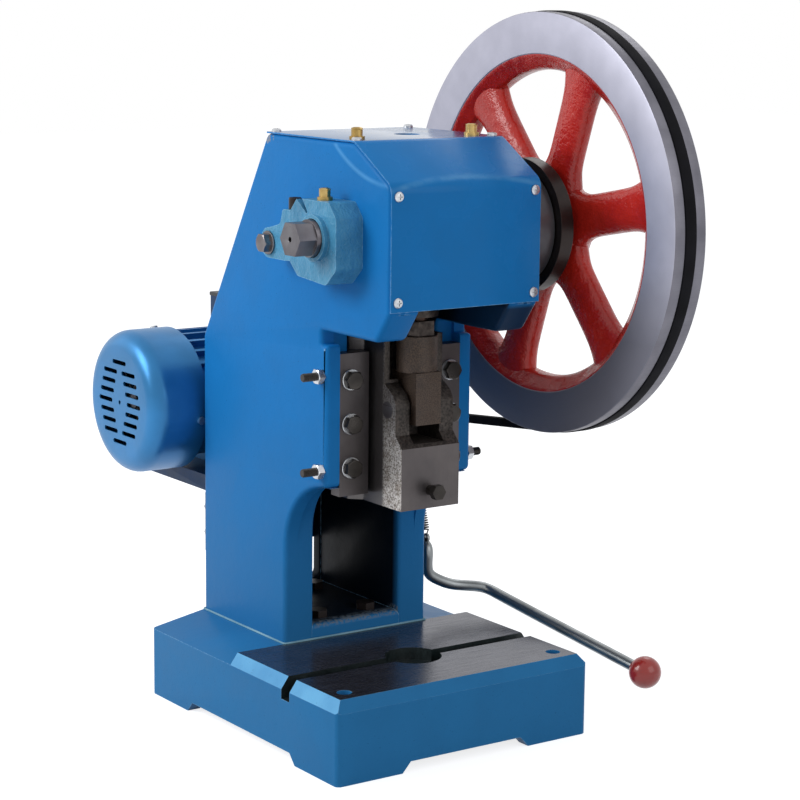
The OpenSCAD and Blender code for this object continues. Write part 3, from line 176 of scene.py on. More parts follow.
def within(tree, coords, *masks):
    # the product of all masks, each a value or a ramp given as (axis, low, high)
    total = None
    for mask in masks:
        if isinstance(mask, tuple):
            mask = along(tree, coords, *mask)
        total = addNode(tree, "Math", {0: total, 1: mask}, operation="MULTIPLY") if total else mask
    return total


def fromAxis(tree, coords, centre):
    # distance in metres from the line along X through (y, z)
    arm = addNode(tree, "VectorMath", {0: coords, 1: placed((0, *centre))}, operation="SUBTRACT")
    flat = addNode(tree, "VectorMath", {0: arm, 1: (0, 1, 1)}, operation="MULTIPLY")
    return addNode(tree, "VectorMath", {0: flat}, "Value", operation="LENGTH")


def edgeWearAndHighlight(tree, coords, joint):
    # worn paint and a painted highlight in patches on sharp edges, where a normal rounded over 1.3 mm leans
    # away from the true one
    bent = addNode(tree, "Bevel", {"Radius": 1.3 * mm}, samples=6)
    true = addNode(tree, "NewGeometry", out="Normal")
    lean = addNode(tree, "VectorMath", {0: bent, 1: true}, "Value", operation="DOT_PRODUCT")
    sharpness = addNode(tree, "MapRange", {0: lean, 1: 0.84, 2: 0.97, 3: 1, 4: 0})
    patches = blotches(tree, coords, 4, 4, 0.32, 0.62, 0.1, 0.85)
    if not joint:
        return within(tree, coords, sharpness, patches)
    # none over the hidden joint of the two halves of a side wall: | |x| - joint |
    off = along(tree, coords, "X", -200, 200, -200, 200)
    for step, value in (("ABSOLUTE", 0), ("SUBTRACT", joint), ("ABSOLUTE", 0)):
        off = addNode(tree, "Math", {0: off, 1: value}, operation=step)
    away = addNode(tree, "MapRange", {0: off, 1: 1.5, 2: 2.2})
    return within(tree, coords, sharpness, patches, away)


def paintedIron(name, face, shade, gloss=0.3, grain=0.12, speckle=0.5, sheen=0.2, metal=0.0, edgeWearAndHighlightTone=None,
                joint=None, marks=(), scars=()):
    # brushed machine enamel over sand-cast iron: the casting's slow waves and a fine orange peel
    # show through, pinholes hold dust, and a lighter line along its edges is thinner paint and a painted
    # highlight; marks go under that line and scars over it
    made, tree, shader, coords = startMaterial(name, Specular_IOR_Level=sheen, Metallic=metal)
    layers = [(blotches(tree, coords, 45, 3, 0.35, 0.65), face),
              (blotches(tree, coords, 1.3, 1, 0.73, 0.78, 0, speckle), "#0c2c4c")]
    layers += [mark(tree, coords) for mark in marks]
    # worn paint and a painted highlight along the edges
    if edgeWearAndHighlightTone:
        layers.append((edgeWearAndHighlight(tree, coords, joint), edgeWearAndHighlightTone))
    layers += [scar(tree, coords) for scar in scars]
    roughness = blotches(tree, coords, 45, 3, 0.3, 0.7, gloss - 0.04, gloss + 0.08)
    heights = [(coords, 12, 2, grain * 3), (coords, 2.2, 3, grain)]
    finishMaterial(tree, shader, shade, layers, roughness, heights)
    return made


# the two ramps across the inner faces of the side walls
insideWalls = ("X", -50.6, -50.0), ("X", 50.6, 50.0)


def dullerLow(tree, coords):
    # a duller, darker blue towards the bottom of the casting
    return along(tree, coords, "Z", 330, 80), "#2a74ad"


def paintedShadeInHollow(tree, coords):
    # painted shade: near black in the hollow of the column and in the head above the guides, where shade
    # falls
    column = within(tree, coords, ("Y", 99.5, 108), ("Z", 372, 352))
    head = along(tree, coords, "Z", 383, 389)
    either = addNode(tree, "Math", {0: column, 1: head}, operation="MAXIMUM")
    # faces that look out to the back get none of this painted shade
    normal = addNode(tree, "NewGeometry", out="Normal")
    backward = addNode(tree, "SeparateXYZ", {0: normal}, "Y")
    inward = addNode(tree, "MapRange", {0: backward, 1: 0.2, 2: 0.3, 3: 1, 4: 0})
    return within(tree, coords, either, *insideWalls, inward), "#0d1825"


def chippedSill(tree, coords):
    # rough, chipped edge of the column's foot
    flakes = blotches(tree, coords, 3, 4, 0.42, 0.56)
    band = ("Z", 87.5, 91), ("Z", 98, 95), ("Y", 116, 106)
    return within(tree, coords, flakes, *band, *insideWalls), "#73818f"


def paleArc(tree, coords):
    # a thin arc of paler blue across the left side: | distance from its centre - radius |
    centre, radius = (-77.6, 674.9), 145.7
    off = addNode(tree, "Math", {0: fromAxis(tree, coords, centre), 1: radius * mm}, operation="SUBTRACT")
    off = addNode(tree, "Math", {0: off}, operation="ABSOLUTE")
    fading = addNode(tree, "MapRange", {0: off, 1: 0.4 * mm, 2: 3.2 * mm, 3: 0.4, 4: 0})
    return within(tree, coords, fading, ("Z", 524, 534), ("X", -81, -82), ("Y", 22, 12)), "#6db8ee"


def paintedShadeUnderHead(tree, coords):
    # painted shade: a dark blue on the underside of the head on the flywheel's side, which lies in shadow
    return within(tree, coords, ("X", 48, 49), ("Z", 419, 413), ("Y", 20, 0)), "#11304f"


def knockedCorner(tree, coords):
    # paint knocked off round the upper back corner on the left
    corner = placed((-82.5, 128, 566))
    near = addNode(tree, "VectorMath", {0: coords, 1: corner}, "Value", operation="DISTANCE")
    ragged = blotches(tree, coords, 3.5, 3, 0.3, 0.7, 0, 12 * mm)
    near = addNode(tree, "Math", {0: near, 1: ragged}, operation="ADD")
    return addNode(tree, "MapRange", {0: near, 1: 13.5 * mm, 2: 14.5 * mm, 3: 0.85, 4: 0}), "#8a8f97"


def paintedBendHighlight(tree, coords):
    # painted highlight: a paler line over the bend, where it catches the light, that bows upwards: z = bend
    # + rise (1 - x^2)
    bend, rise, reach = 526, 9, 60
    across = along(tree, coords, "X", -82, 82, -1, 1)
    squared = addNode(tree, "Math", {0: across, 1: across}, operation="MULTIPLY")
    bow = addNode(tree, "MapRange", {0: squared, 3: rise, 4: 0})
    height = along(tree, coords, "Z", bend - reach, bend + reach, -reach, reach)
    off = addNode(tree, "Math", {0: height, 1: bow}, operation="SUBTRACT")
    off = addNode(tree, "Math", {0: off}, operation="ABSOLUTE")
    fading = addNode(tree, "MapRange", {0: off, 1: 0.6, 2: 3.2, 3: 0.5, 4: 0})
    uneven = blotches(tree, coords, 14, 3, 0.35, 0.6, 0.3, 1)
    return within(tree, coords, fading, uneven), "#5aa0d6"


def machined(name, face, shade, rough=0.38, metal=0.9, lay="x", depth=0.02, low=None):
    # cut or ground metal with its tool marks along one axis, or round the crank as "turned"
    made, tree, shader, coords = startMaterial(name, Metallic=metal)
    if lay == "turned":
        size = 1.1
        laid = addNode(tree, "CombineXYZ", {"X": fromAxis(tree, coords, crank)})
    else:
        size = 0.9
        stretch = {"x": (0.03, 1, 1), "y": (1, 0.03, 1), "z": (1, 1, 0.03)}[lay]
        laid = addNode(tree, "Mapping", {"Vector": coords, "Scale": stretch})
    layers = [(blotches(tree, coords, 28, 4, 0.35, 0.68), shade)]
    if low:
        # painted shade: the piece turns darker towards its bottom, for the dark surroundings reflected low
        # on it
        layers.append((along(tree, coords, "Z", *low[0]), low[1]))
    roughness = blotches(tree, laid, size, 2, 0.3, 0.7, rough - 0.07, rough + 0.09)
    finishMaterial(tree, shader, face, layers, roughness, [(laid, size, 2, depth)])
    return made


def roughSteel(name, face, shade, size=1.6, rough=0.5, metal=0.75, depth=0.25):
    # forged, cast or oiled steel with a pebbled skin and darker oil in its hollows
    made, tree, shader, coords = startMaterial(name, Metallic=metal)
    layers = [(blotches(tree, coords, size, 4, 0.35, 0.62), face),
              (blotches(tree, coords, 18, 3, 0.5, 0.7, 0, 0.5), shade)]
    roughness = blotches(tree, coords, 18, 3, 0.3, 0.7, rough + 0.1, rough - 0.12)
    finishMaterial(tree, shader, shade, layers, roughness, [(coords, size, 4, depth)])
    return made


def plainFinish(name, face, shade, rough=0.4, metal=0.0, size=1.0, depth=0.02, **settings):
    # an even finish with a fine grain: plating, moulded plastic, rubber or polished metal
    made, tree, shader, coords = startMaterial(name, Metallic=metal, **settings)
    layers = [(blotches(tree, coords, 22, 2, 0.35, 0.65), shade)]
    roughness = blotches(tree, coords, 22, 2, 0.3, 0.7, rough - 0.04, rough + 0.05)
    finishMaterial(tree, shader, face, layers, roughness, [(coords, size, 2, depth)])
    return made


def ramFlank(name):
    # the slide's side: scraped, with bright flecks; planed and smoother near the gib and high up, and darker
    # there as painted shade
    made, tree, shader, coords = startMaterial(name, Metallic=0.8)
    nearGib, belowLugs = along(tree, coords, "Y", 4, 8), along(tree, coords, "Z", 284, 318, 0, 0.7)
    planedAndShaded = addNode(tree, "Math", {0: nearGib, 1: belowLugs}, operation="MAXIMUM")
    layers = [(blotches(tree, coords, 1.5, 4, 0.38, 0.6), "#d2ceca"),
              (blotches(tree, coords, 9, 3, 0.5, 0.68, 0, 0.55), "#6b5d50"), (planedAndShaded, "#5b5858")]
    roughness = addNode(tree, "MapRange", {0: planedAndShaded, 3: 0.42, 4: 0.3})
    finishMaterial(tree, shader, "#6d655d", layers, roughness, [(coords, 1.5, 4, 0.22)])
    return made


# enamels: the same blue reads darker on the sheet cover and teal on the brake's own casting
# a pale line along the edges: worn, thinner paint, and a painted highlight on them
paleEdgeWearAndHighlight = "#9fd0f0"
framePaint = paintedIron("blueEnamelOnCastIron", "#1b7ac3", "#1976bd", 0.36, 0.08, sheen=0.07, edgeWearAndHighlightTone=paleEdgeWearAndHighlight,
                         joint=68, marks=(dullerLow, paintedShadeInHollow, chippedSill, paleArc, paintedShadeUnderHead),
                         scars=(knockedCorner,))
basePaint = paintedIron("blueEnamelOnBase", "#2b78b0", "#2974ab", 0.4, 0.07, edgeWearAndHighlightTone=paleEdgeWearAndHighlight, sheen=0.08)
# the side bevels: a paler, speckled blue that is a painted highlight where they face the light
bevelPaintedHighlight = paintedIron("paleBlueEnamelPaintedHighlightOnBevel", "#69b4e4", "#549fd4", 0.42, 0.2, speckle=0.8)
coverPaint = paintedIron("blueEnamelOnSheet", "#1b7bc4", "#1c78be", 0.24, 0.02, speckle=0.1, sheen=0.09,
                         edgeWearAndHighlightTone=paleEdgeWearAndHighlight, marks=(paintedBendHighlight,))
# the cover's top: glossier, with a greyer blue painted in for the white reflection that lies on it at a
# glancing view
coverTopPaintedReflection = paintedIron("glossyEnamelPaintedReflectionOnTop", "#2f6ea6", "#2d6aa0", 0.12, 0.02, speckle=0.1, sheen=0.75)
# its pale edges too are worn paint and a painted highlight
brakePaint = paintedIron("tealEnamelOnCastIron", "#56a0c8", "#4489b0", 0.3, 0.9, edgeWearAndHighlightTone="#a5dcf6")
motorPaint = paintedIron("metallicMotorEnamel", "#2b7cb6", "#2472a8", 0.33, 0.03, speckle=0, sheen=0.6,
                         metal=0.5)
platePaint = paintedIron("darkBlueEnamelPlate", "#0e3a63", "#0c3256", 0.4, 0.1)
seamPaint = paintedIron("paintBeadAtFoot", "#8fb9c9", "#6d9bb0", 0.4, 0.3, speckle=0.4)
spokeEnamel = paintedIron("redEnamelOnCastIron", "#c82a1e", "#b2211a", 0.2, 0.5, speckle=0.05, sheen=0.45)

# bare and plated metals, rubber and plastics
tableIron = machined("groundCastIronTable", "#51535f", "#484a56", 0.24, 0.75, "x", 0.0015)
# near black in the slot and the recess: oily iron, darkened further as painted shade for the shade that
# falls in them
slotIronAndPaintedShade = roughSteel("oilyCastIronSlotAndPaintedShade", "#1f2b2d", "#10191b", 2.0, 0.45, 0.3, 0.15)
# the rim turns darker low down: painted shade for the dark surroundings it reflects there
rimIron = machined("turnedCastIronRim", "#aeaebd", "#a4a4b3", 0.42, 0.4, "turned", 0.006,
                   low=((460, 385), "#787884"))
treadIron = machined("turnedCastIronTread", "#77767f", "#66656e", 0.4, 0.85, "x", 0.004)
gibSteel = machined("groundSteelGib", "#524e4f", "#464243", 0.4, 0.8, "z", 0.02)
ramFace = machined("milledSteelRamFace", "#5b5656", "#4f4b4c", 0.42, 0.75, "z", 0.02)
ramSide = ramFlank("scrapedSteelRamFlank")
ramRough = roughSteel("sawnSteelRamCheek", "#453f3b", "#221e1c", 2.2, 0.5, 0.6, 0.4)
forgedSteel = roughSteel("oiledForgedSteel", "#4a433f", "#2a2523", 5.0, 0.4, 0.8, 0.12)
greasySteel = roughSteel("greasyRodBlock", "#4e3f34", "#231a15", 1.1, 0.5, 0.35, 0.45)
screwSteel = roughSteel("oiledScrewSteel", "#47332a", "#231814", 5.0, 0.34, 0.7, 0.06)
collarSteel = plainFinish("oiledCollarSteel", "#646569", "#54555a", 0.42, 0.75, 6.0, 0.02)
ringSteel = plainFinish("brownedRingSteel", "#2c2422", "#221c1b", 0.4, 0.6, 6.0, 0.03)
blackSteel = plainFinish("blackenedSteel", "#403c39", "#2c2927", 0.28, 0.75, 0.8, 0.02)
shaftSteel = machined("turnedShaftSteel", "#6f6e72", "#59555a", 0.32, 0.9, "turned", 0.02)
brightSteel = plainFinish("polishedSteelRod", "#8d9193", "#7a7e80", 0.33, 1.0, 1.2, 0.01)
wornSteel = plainFinish("wornSteelBolt", "#8b888a", "#6a6465", 0.28, 0.9, 2.0, 0.03)
zinc = plainFinish("zincPlatedSteel", "#d0d2d5", "#b6b9be", 0.28, 0.95, 0.6, 0.01)
brass = plainFinish("castBrass", "#c2a76c", "#9c8048", 0.3, 0.95, 0.7, 0.02)
bronze = machined("turnedBronze", "#a87b3e", "#8e6632", 0.36, 0.9, "turned", 0.02)
beltRubber = plainFinish("wrappedRubberBelt", "#0c0c12", "#08080c", 0.75, 0.0, 0.5, 0.06,
                         Specular_IOR_Level=0.12)
knobPlastic = plainFinish("redPhenolicKnob", "#a1261f", "#8d201b", 0.24, 0.0, 1.5, 0.01,
                          Coat_Weight=0.25, Coat_Roughness=0.06)
blackPlastic = plainFinish("blackMouldedPlastic", "#181b20", "#121519", 0.48, 0.0, 0.7, 0.04)
liningFibre = plainFinish("wovenBrakeLining", "#6b4f38", "#54402f", 0.8, 0.0, 0.8, 0.1)
windingVarnish = plainFinish("varnishedWinding", "#7c4a2e", "#5f3721", 0.4, 0.2, 1.2, 0.2)
print("materials made:", len(bpy.data.materials))

# mesh tools

bodyOf = {node: body for body, nodes in frame["record"]["behaviour"]["bodies"].items() for node in nodes}


def pickFaces(mesh, pick):
    # gives each face the index of its material from its middle, in millimetres, and its normal
    count = len(mesh.polygons)
    centres, normals = np.zeros(count * 3), np.zeros(count * 3)
    mesh.polygons.foreach_get("center", centres)
    mesh.polygons.foreach_get("normal", normals)
    centres = (centres.reshape(-1, 3) - dieAxis) / mm
    mesh.polygons.foreach_set("material_index", np.asarray(pick(centres, normals.reshape(-1, 3)), int))


def newMesh(name, points, faces):
    # a mesh from points in millimetres
    mesh = bpy.data.meshes.new(name)
    mesh.from_pydata(placed(points).tolist(), [], [list(map(int, face)) for face in faces])
    return mesh


def weld(mesh, reach, flatten=None):
    # merges vertices closer than reach metres, then dissolves edges flatter than an angle, or
    # turns all faces outwards if none is given
    shaped = bmesh.new()
    shaped.from_mesh(mesh)
    bmesh.ops.remove_doubles(shaped, verts=shaped.verts, dist=reach)
    if flatten:
        bmesh.ops.dissolve_limit(shaped, angle_limit=flatten, verts=shaped.verts, edges=shaped.edges)
    else:
        bmesh.ops.recalc_face_normals(shaped, faces=shaped.faces)
    shaped.to_mesh(mesh)
    shaped.free()


def makePiece(name, points, faces, body, finish, nodes=(), sharp=32, pick=None):
    # a piece from millimetre points, riding on a body if one is named, in place of the frame nodes;
    # finish is one material or a list of them that pick chooses from
    mesh = newMesh(name, points, faces)
    piece = addObject(name, mesh)
    weld(mesh, 2e-7)
    finishPiece(piece, body, finish, nodes, sharp)
    if pick:
        pickFaces(mesh, pick)
    return piece


def finishPiece(piece, body, finish, nodes, sharp, bevel=None, segments=2):
    # materials, smooth shading up to the angle sharp, broken edges, and the piece's place in the part
    mesh = piece.data
    for material in finish if isinstance(finish, (list, tuple)) else [finish]:
        mesh.materials.append(material)
    mesh.polygons.foreach_set("use_smooth", [True] * len(mesh.polygons))
    mesh.set_sharp_from_angle(angle=math.radians(sharp))
    if bevel:
        edge = piece.modifiers.new("soft edges", "BEVEL")
        edge.width = bevel * mm
        edge.segments = segments
        edge.limit_method = "ANGLE"
        edge.angle_limit = math.radians(sharp)
        edge.harden_normals = True
    if body:
        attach(piece, body)
    if nodes:
        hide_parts(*nodes)


def softCopy(node, bevel, finish, sharp=30, pick=None, segments=2):
    # the frame node's own shape with its doubles merged and its edges broken by a bevel
    mesh = frame["nodes"][node].data.copy()
    mesh.materials.clear()
    weld(mesh, 1e-6, math.radians(0.6))
    finishPiece(addObject(node + "Shape", mesh), bodyOf[node], finish, [node], sharp, bevel, segments)
    if pick:
        pickFaces(mesh, pick)


def punchOut(piece, points, faces):
    # takes a closed shape out of a piece
    mesh = newMesh("punch", points, faces)
    weld(mesh, 2e-5)
    punch = addObject("punch", mesh)
    taken = piece.modifiers.new("hole", "BOOLEAN")
    taken.operation, taken.object, taken.solver = "DIFFERENCE", punch, "EXACT"
    bpy.context.view_layer.update()
    result = bpy.data.meshes.new_from_object(piece.evaluated_get(bpy.context.evaluated_depsgraph_get()))
    piece.modifiers.remove(taken)
    piece.data = result
    bpy.data.objects.remove(punch)


def fullTurn(steps):
    # evenly spaced angles all the way round
    return np.linspace(0, 2 * np.pi, steps, endpoint=False)


def gridFaces(rows, columns, wrapRows=False, wrapColumns=False):
    # quads between neighbouring rows and columns of a grid of points
    i = np.arange(rows if wrapRows else rows - 1)
    j = np.arange(columns if wrapColumns else columns - 1)
    i, j = np.meshgrid(i, j, indexing="ij")
    a, b = i % rows, (i + 1) % rows
    c, d = j % columns, (j + 1) % columns
    return np.stack([a * columns + c, a * columns + d, b * columns + d, b * columns + c], -1).reshape(-1, 4)


def alongAxis(axis, along, u, v):
    # puts (along, u, v) on the named axis and the two that follow it
    order = {"x": (0, 1, 2), "y": (1, 0, 2), "z": (2, 0, 1)}[axis]
    points = np.zeros(np.broadcast(along, u, v).shape + (3,))
    for k, value in zip(order, (along, u, v)):
        points[..., k] = value
    return points


def turned(profile, axis="x", centre=(0, 0), steps=96, closed=True):
    # each (along, radius) of the profile is carried round the axis: along, r cos t, r sin t
    profile = np.array(profile, float)
    t = fullTurn(steps)[:, None]
    points = alongAxis(axis, profile[None, :, 0] + 0 * t, centre[0] + profile[None, :, 1] * np.cos(t),
                       centre[1] + profile[None, :, 1] * np.sin(t))
    return points.reshape(-1, 3), gridFaces(steps, len(profile), True, closed)


def joinParts(*parts):
    # several (points, faces) as one
    points, faces, base = [], [], 0
    for p, f in parts:
        points.append(np.asarray(p, float))
        faces += [[int(k) + base for k in face] for face in f]
        base += len(p)
    return np.vstack(points), faces


def rounded(corners, radii, steps=8):
    # an outline whose corners are arcs of the given radii, 0 for a sharp one
    corners = np.array(corners, float)
    made = []
    for k, radius in enumerate(radii):
        a, b, c = corners[k - 1], corners[k], corners[(k + 1) % len(corners)]
        if not radius:
            made.append(b)
            continue
        u, w = (a - b) / np.linalg.norm(a - b), (c - b) / np.linalg.norm(c - b)
        half = math.acos(np.clip(u @ w, -1, 1)) / 2
        middle = b + (u + w) / np.linalg.norm(u + w) * radius / math.sin(half)
        p, q = b + u * radius / math.tan(half) - middle, b + w * radius / math.tan(half) - middle
        start = math.atan2(p[1], p[0])
        turn = (math.atan2(q[1], q[0]) - start + 3 * math.pi) % (2 * math.pi) - math.pi
        angles = start + turn * np.linspace(0, 1, steps + 1)
        made += list(middle + radius * np.stack([np.cos(angles), np.sin(angles)], 1))
    return np.array(made)


def circlePath(y, z, radius, steps=48):
    # y + r cos t, z + r sin t
    t = fullTurn(steps)
    return np.stack([y + radius * np.cos(t), z + radius * np.sin(t)], 1)


def wound(loop, direction):
    # the loop as an array, anticlockwise for direction 1 and clockwise for -1
    loop = np.array(loop, float)
    x, y = loop.T
    area = (x * np.roll(y, -1) - np.roll(x, -1) * y).sum() / 2
    return loop[::-1] if area * direction < 0 else loop


def insetLoop(loop, amount):
    # every corner moved inwards along its mitre
    before, after = loop - np.roll(loop, 1, 0), np.roll(loop, -1, 0) - loop
    before /= np.linalg.norm(before, axis=1)[:, None]
    after /= np.linalg.norm(after, axis=1)[:, None]
    n1, n2 = np.stack([before[:, 1], -before[:, 0]], 1), np.stack([after[:, 1], -after[:, 0]], 1)
    mitre = (n1 + n2) / (1 + (n1 * n2).sum(1))[:, None]
    return loop - amount * mitre


def slab(outline, low, high, axis="x", roundLow=0.0, roundHigh=0.0, holes=(), steps=4):
    # a plate whose outline is carried from low to high; near each face it draws in along a
    # quarter circle: inset = r (1 - cos a), depth = r (1 - sin a)
    loops = [wound(outline, 1)] + [wound(hole, -1) for hole in holes]
    angles = np.linspace(0, np.pi / 2, steps + 1)
    rows = []
    for radius, end, sign in ((roundLow, low, 1), (roundHigh, high, -1)):
        part = [(0, end)]
        if radius:
            part = [(radius * (1 - np.cos(a)), end + sign * radius * (1 - np.sin(a))) for a in angles]
        rows += part[::-1] if sign > 0 else part
    points, faces, caps = [], [], {0: [], 1: []}
    base = 0
    for loop in loops:
        n = len(loop)
        for inset, along in rows:
            moved = insetLoop(loop, inset) if inset else loop
            points.append(alongAxis(axis, np.full(n, along), moved[:, 0], moved[:, 1]))
        faces += (gridFaces(len(rows), n, False, True) + base).tolist()
        caps[0].append(np.arange(base, base + n))
        caps[1].append(np.arange(base + (len(rows) - 1) * n, base + len(rows) * n))
        base += len(rows) * n
    points = np.vstack(points)
    for ring in caps.values():
        index = np.concatenate(ring)
        flat = [[Vector((*np.delete(points[k], "xyz".index(axis)), 0)) for k in part] for part in ring]
        faces += [[int(index[k]) for k in tri] for tri in tessellate_polygon(flat)]
    return points, faces


def capFaces(sides, rings):
    # the first and the last ring of a grid of rings as faces
    last = (rings - 1) * sides
    return [list(range(sides))[::-1], list(range(last, last + sides))]


def tube(path, radius, sides=24, smooth=0):
    # a circle carried along a path, its frame turned as little as possible from point to point
    path = np.array(path, float)
    for _ in range(smooth):
        cut = np.empty((2 * len(path) - 2, 3))
        cut[0::2] = 0.75 * path[:-1] + 0.25 * path[1:]
        cut[1::2] = 0.25 * path[:-1] + 0.75 * path[1:]
        path = np.vstack([path[:1], cut, path[-1:]])
    tangent = np.gradient(path, axis=0)
    tangent /= np.linalg.norm(tangent, axis=1)[:, None]
    side = np.cross(tangent[0], (0.3, 0.2, 0.9))
    normals = []
    for t in tangent:
        side = side - t * (side @ t)
        side /= np.linalg.norm(side)
        normals.append(side)
    normals = np.array(normals)
    other = np.cross(tangent, normals)
    a = fullTurn(sides)
    ring = path[:, None] + radius * (
        np.cos(a)[None, :, None] * normals[:, None] + np.sin(a)[None, :, None] * other[:, None])
    faces = gridFaces(len(path), sides, False, True).tolist()
    return ring.reshape(-1, 3), faces + capFaces(sides, len(path))


def turnTo(shape, place, direction):
    # a shape made along +Z from the origin, turned to face direction and moved to place
    points, faces = shape
    rotation = np.array(Vector((0, 0, 1)).rotation_difference(Vector(direction)).to_matrix())
    return np.asarray(points) @ rotation.T + np.asarray(place, float), faces


def hexHead(across, height, bore=0.01):
    # radius = min(hexagon, chamfer cone): af / 2 / cos(a) against top + 1.73 (height - z)
    steps = 72
    angles = fullTurn(steps)
    hexagon = across / 2 / np.cos((angles + np.pi / 6) % (np.pi / 3) - np.pi / 6)
    levels = np.concatenate([[0], height - np.array([1.6, 0.9, 0.5, 0.2, 0]) * across / 16])
    cone = across * 0.48 + 1.73 * (height - levels)
    radius = np.minimum(hexagon[:, None], cone[None, :])
    rings = [radius[:, k] for k in range(len(levels))] + [np.full(steps, bore)] * 2
    heights = list(levels) + [height, 0]
    grid = np.stack([np.stack([r * np.cos(angles), r * np.sin(angles), np.full(steps, z)], 1)
                     for r, z in zip(rings, heights)], 1)
    return grid.reshape(-1, 3), gridFaces(steps, len(rings), True, True)


def thread(radius, length, pitch):
    # r = radius - depth * triangle(z / pitch - a / turn), with a chamfered tip
    depth, tip, steps = pitch * 0.55, 0.8, 28
    z = np.arange(0, length + 1e-6, pitch / 6)
    a = fullTurn(steps)
    phase = (z[:, None] / pitch - a[None] / (2 * np.pi)) % 1
    r = radius - depth * np.abs(2 * phase - 1)
    r = np.minimum(r, (radius - tip + (length - z))[:, None])
    grid = np.stack([r * np.cos(a), r * np.sin(a), z[:, None] + 0 * a], -1)
    return grid.reshape(-1, 3), gridFaces(len(z), steps, False, True).tolist() + capFaces(steps, len(z))


def washer(inner, outer):
    # a 2 mm thick washer with broken rims, lying on Z = 0
    return turned([(0, inner), (0, outer - 0.4), (0.4, outer), (1.6, outer), (2, outer - 0.4), (2, inner)],
                  "z", (0, 0), 48)


# frame casting


# heights stand above the bench, depths run from the die's axis to the back, half and inner across
castingSizes = {
    "half": 82.5, "inner": 49.5, "gibEdge": 68, "edge": 5.0,
    "foot": 72.8, "throat": 97, "throatRadius": 71,
    "guideBottom": 243, "guideFront": 25.3, "guideTop": 377, "gibSeat": 39.3,
    "head": 390, "lip": 419, "front": 76, "bend": 530, "topFront": 17, "sheet": 1.6,
    "back": 251, "backCorner": 359, "topBack": 131, "wall": 13, "across": 51,
}


def makeFrameCasting(half, inner, gibEdge, edge, foot, throat, throatRadius, guideBottom, guideFront,
                     guideTop, gibSeat, head, lip, front, bend, topFront, sheet, back, backCorner,
                     topBack, wall, across):
    # side walls in two halves each, back slope, back wall with its opening, floor and web
    under = 566 - sheet
    upper = [(-front + 22, head), (-front + sheet, lip - 2), (-front + sheet, bend - 0.6),
             (-topFront + 0.4, under), (topBack, under), (back, backCorner), (back, foot)]
    upperRadii = [10, 5, 14, 14, 8, 14, 0]
    # the two halves of a side wall: the outer one carries the guide, the inner one seats the gib
    guide = [(throat, foot), (throat, guideBottom), (guideFront, guideBottom), (guideFront, guideTop),
             (guideFront + 10, guideTop), (guideFront + 10, head)]
    outerHalf = rounded(guide + upper, [0, throatRadius, 6, 3, 2, 3] + upperRadii, 12)
    seat = [(throat, foot), (throat, guideBottom), (gibSeat, guideBottom), (gibSeat, head)]
    innerHalf = rounded(seat + upper, [0, throatRadius - 14, 3, 3] + upperRadii, 12)
    parts = []
    for side in (-1, 1):
        low, high = sorted((side * half, side * gibEdge))
        parts.append(slab(outerHalf, low, high, "x", edge if side < 0 else 0, edge if side > 0 else 0,
                          steps=5))
        low, high = sorted((side * gibEdge, side * inner))
        parts.append(slab(innerHalf, low, high, "x", 4 if side > 0 else 0, 4 if side < 0 else 0))
    slope = rounded([(back, 300), (back, backCorner), (topBack, under), (topBack - 14, under),
                     (back - wall, backCorner - 8), (back - wall, 300)], [0, 14, 8, 0, 6, 0])
    parts.append(slab(slope, -across, across))
    opening = rounded([(9.5, 96), (48, 96), (48, 228), (9.5, 228)], [8, 8, 12, 12])
    parts.append(slab([(-across, 79), (across, 79), (across, 302), (-across, 302)], back - wall, back,
                      "y", 2, 2, holes=[opening]))
    floor = rounded([(throat + 1, 78), (throat + 1, 92), (back - 2, 92), (back - 2, 78)], [0, 5, 0, 0])
    parts.append(slab(floor, -across, across))
    web = rounded([(60, 243), (106, 243), (86, 288), (86, 420), (66, 420), (66, 390), (60, 390)],
                  [3, 8, 20, 4, 4, 0, 0])
    parts.append(slab(web, -50.5, 50.5))
    makePiece("frameCasting", *joinParts(*parts), "press", framePaint, ["frame_casting"], sharp=24)

    # a bead of paint round the foot, where the column meets the base
    proud = 0.3
    h = half + proud
    near, far = throat - proud, back + proud
    seam = rounded([(-h, near), (h, near), (h, far), (-h, far)], [2] * 4, 4)
    seam = np.vstack([seam, seam[:1]])
    bead = tube(np.column_stack([seam, np.full(len(seam), 78.5)]), 1.1, 10)
    footSeam = makePiece("footSeam", *bead, "press", seamPaint, sharp=50)


makeFrameCasting(**castingSizes)
print("frame casting done")

# base

# where the base's machined faces lie: heights above the bench, radius and half width round the die
baseSizes = {
    "tableEdge": 77.5, "recessFloor": 30, "recessRadius": 27.5, "slotFloor": 57.5, "slotHalf": 7.2,
    "bevelFoot": 60, "softEdge": 1.2, "sharpAngle": 20,
}


def basePick(centres, normals):
    # 1 on the ground table, 2 in the slot and the recess, oily iron with painted shade, 3 on the bevels
    # except the front one, with their painted highlight, 0 on the paint
    x, y, z = centres.T
    facing, below = normals[:, 2], z < baseSizes["tableEdge"]
    table = ~below & (facing > 0.9)
    recess = below & (z > baseSizes["recessFloor"]) & (np.hypot(x, y) < baseSizes["recessRadius"])
    slot = below & (z > baseSizes["slotFloor"]) & (np.abs(y) < baseSizes["slotHalf"])
    bevel = (z > baseSizes["bevelFoot"]) & (facing > 0.4) & (facing < 0.9) & (normals[:, 1] > -0.3)
    return np.where(recess | slot, 2, np.where(table, 1, np.where(bevel, 3, 0)))


baseFinishes = [basePaint, tableIron, slotIronAndPaintedShade, bevelPaintedHighlight]
softCopy("base_casting", baseSizes["softEdge"], baseFinishes, baseSizes["sharpAngle"], basePick, segments=3)

# cover


# the sheet's bends as depths and heights, and its oil hole
coverSizes = {
    "width": 164.4, "thick": 1.6,
    "front": 76, "lip": 419, "bend": 530, "topFront": 17, "top": 566, "rear": 131,
}


